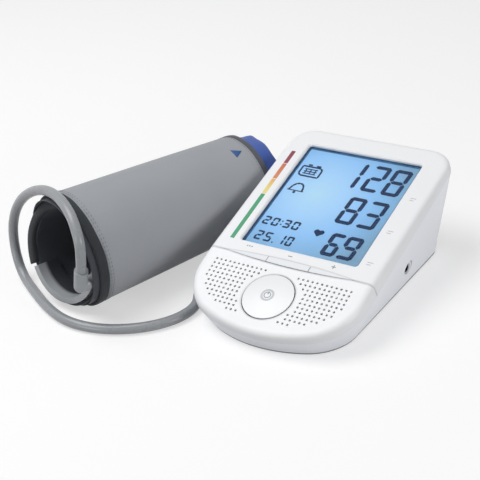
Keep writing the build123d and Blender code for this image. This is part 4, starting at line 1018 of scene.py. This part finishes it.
def discShape(bm, centre, radius, thick, segments=12):
    made = bmesh.ops.create_circle(bm, cap_ends=True, segments=segments, radius=radius,
                                   matrix=Matrix.Translation((*centre, 0)))
    raisedUp(bm, list({f for v in made["verts"] for f in v.link_faces}), thick)


# a heart's parts as shares of its size, and how much thinner its square is
heart = {"aside": 0.24, "above": 0.16, "lobe": 0.27, "below": 0.06, "side": 0.52, "thinner": 0.92}


def heartShape(bm, centre, size, thick):
    # two discs over a square that stands on its corner
    x, y = centre
    for side in (-1, 1):
        middle = (x + side * size * heart["aside"], y + size * heart["above"])
        discShape(bm, middle, size * heart["lobe"], thick, 32)
    height = thick * heart["thinner"]
    place = Matrix.Translation((x, y - size * heart["below"], height / 2))
    square = Matrix.Diagonal((size * heart["side"], size * heart["side"], height, 1))
    bmesh.ops.create_cube(bm, size=1.0, matrix=place @ Matrix.Rotation(math.pi / 4, 4, "Z") @ square)


def strokes(bm, points, width, thick):
    for start, end in zip(points, points[1:]):
        flatBar(bm, start, end, width, thick, "stroke")


def buildReadout():
    figureInk = moulded("displayInk", "0d2c52", "0a2547", 0.6, 900, 60, 0.000002, Specular_IOR_Level=0.05)
    thick = readout["thick"]
    bm = bmesh.new()
    for left, top, bottom, width, sign in readout["big"]:
        if sign == "1":
            left -= width - readout["oneWidth"]
        figure(bm, sign, left, top, bottom, width, readout["stroke"], thick)
    for left, top, bottom, width, sign in readout["small"]:
        figure(bm, sign, left, top, bottom, width, readout["thin"], thick)
    for vert in bm.verts:
        lean = readout["slant"] * (vert.co.y - readout["slantFrom"])
        vert.co.x += lean * (1 if vert.co.x > readout["bigFrom"] else readout["smallSlant"])
    for place in readout["dots"]:
        discShape(bm, place, readout["dot"], thick)
    heartShape(bm, *readout["heart"], thick)
    for weight, *points in readout["signs"]:
        strokes(bm, points, readout[weight], thick)
    discShape(bm, *readout["clapper"], thick)
    scaled(bm, mm)
    printed(bm, "displayFigures", figureInk, onDisplay(readout["depth"], readout["shift"]))
    print("figures ready")


# prints on the case: the band of five colours left of the window and a few plain marks
prints = {
    "bandTop": (-49.25, 37.6), "bandFoot": (-47.85, -47.9), "bandWidth": 3.0, "thick": 0.05,
    "sink": 0.01 * mm, "breaks": (37.6, 24.6, 9.2, -5.5, -47.9), "gap": 0.25,
    "bandColours": ((-47.9, "3f9b6f"), (-6.0, "3f9b6f"), (-5.0, "e9e08a"), (2.0, "ecd17c"),
        (8.6, "e8b36a"), (9.6, "d98c56"), (24.0, "c96a4c"), (25.2, "97394c"),
        (37.6, "7d2840")),
    "ticks": ((49.8, 15.1), (48.7, -15.1), (48.7, -42.6)), "tickHalf": 2.0, "tickShort": 1.0,
    "tickRise": 0.9, "tickWidth": 0.5,
    "keyMarks": ((-32.2, -50.8), (-2.1, -51.4), (28.6, -51.4)), "keyDots": (-1.7, 0, 1.7),
    "keyDot": 0.5, "minusHalf": 1.6, "plusHalf": 1.5, "signWidth": 0.6
}


def buildBand():
    # hard steps between the grades and a soft change from orange to yellow
    made, tree, shader = newSurface("bandInk", "3f9b6f", 0.4)
    low, high = prints["bandColours"][0][0], prints["bandColours"][-1][0]
    height = calc(tree, "SUBTRACT", onFace(tree, displayFace)["Y"], low * mm)
    stops = [((place - low) / (high - low), colour) for place, colour in prints["bandColours"]]
    dye = banded(tree, calc(tree, "DIVIDE", height, (high - low) * mm), stops)
    feed(shader, "Base Color", dye)
    grain = placed(tree, mouldGrain, Fine=1200.0, Broad=200.0)
    raised(tree, shader, grain["Grain"], 0.000004)
    bm = bmesh.new()
    top, foot = Vector(prints["bandTop"]), Vector(prints["bandFoot"])
    for upper, lower in zip(prints["breaks"], prints["breaks"][1:]):
        ends = [top.lerp(foot, (top.y - v) / (top.y - foot.y))
                for v in (upper - prints["gap"], lower + prints["gap"])]
        flatBar(bm, *ends, prints["bandWidth"], prints["thick"], "band")
    scaled(bm, mm)
    printed(bm, "gradeBand", made, onDisplay(prints["sink"]))


def buildMarks():
    # two ticks beside each row, then three dots, a minus and a plus for the keys
    paleInk = moulded("paleInk", "c6bfc4", "bcb5ba", 0.45, 900, 80, 0.000004)
    greyInk = moulded("greyInk", "8d9197", "84888e", 0.45, 900, 80, 0.000004)
    thick, half, rise = prints["thick"], prints["tickHalf"], prints["tickRise"]
    bm = bmesh.new()
    for x, y in prints["ticks"]:
        strokes(bm, ((x - half, y + rise), (x + half, y + rise)), prints["tickWidth"], thick)
        strokes(bm, ((x - half, y - rise), (x + prints["tickShort"], y - rise)), prints["tickWidth"], thick)
    scaled(bm, mm)
    printed(bm, "rowTicks", paleInk, onDisplay(prints["sink"]))
    bm = bmesh.new()
    (left, leftY), (middle, middleY), (right, rightY) = prints["keyMarks"]
    for shift in prints["keyDots"]:
        discShape(bm, (left + shift, leftY), prints["keyDot"], thick)
    minus, plus = prints["minusHalf"], prints["plusHalf"]
    for points in (((middle - minus, middleY), (middle + minus, middleY)),
                   ((right - plus, rightY), (right + plus, rightY)),
                   ((right, rightY - plus), (right, rightY + plus))):
        strokes(bm, points, prints["signWidth"], thick)
    scaled(bm, mm)
    printed(bm, "keyMarks", greyInk, onDisplay(prints["sink"]))


# the start button's grey disc and its power sign, which follow the dome
badge = {
    "y": -26.0, "top": 1.8, "dome": 103.5, "radius": 4.4, "proud": 0.05, "thick": 0.12,
    "signRadius": 2.1, "signWidth": 0.55, "signProud": 0.04, "bar": ((0, 0.4), (0, 2.6))
}


def onDome(bm, name, material, proud):
    # lays a flat shape of millimetres on the start button's dome
    for vert in bm.verts:
        away = vert.co.xy.length
        vert.co.z += badge["top"] + proud - badge["thick"] - away * away / (2 * badge["dome"])
    scaled(bm, mm)
    printed(bm, name, material, speakerFace @ Matrix.Translation((0, badge["y"] * mm, 0)),
            body="start_button")


def buildBadge():
    discInk = moulded("badgeGrey", "c5c8cd", "bcc0c5", 0.4, 1200, 120, 0.000004)
    signInk = moulded("signGrey", "8f9399", "868a90", 0.42, 1200, 120, 0.000004)
    bm = bmesh.new()
    discShape(bm, (0, 0), badge["radius"], badge["thick"], 48)
    onDome(bm, "startDisc", discInk, badge["proud"])
    bm = bmesh.new()
    ringShape(bm, badge["signRadius"], badge["signWidth"], badge["thick"], 40)
    flatBar(bm, *badge["bar"], badge["signWidth"], badge["thick"], "sign")
    onDome(bm, "startSign", signInk, badge["proud"] + badge["signProud"])
    print("prints ready")


buildPane()
buildReadout()
buildBand()
buildMarks()
buildBadge()
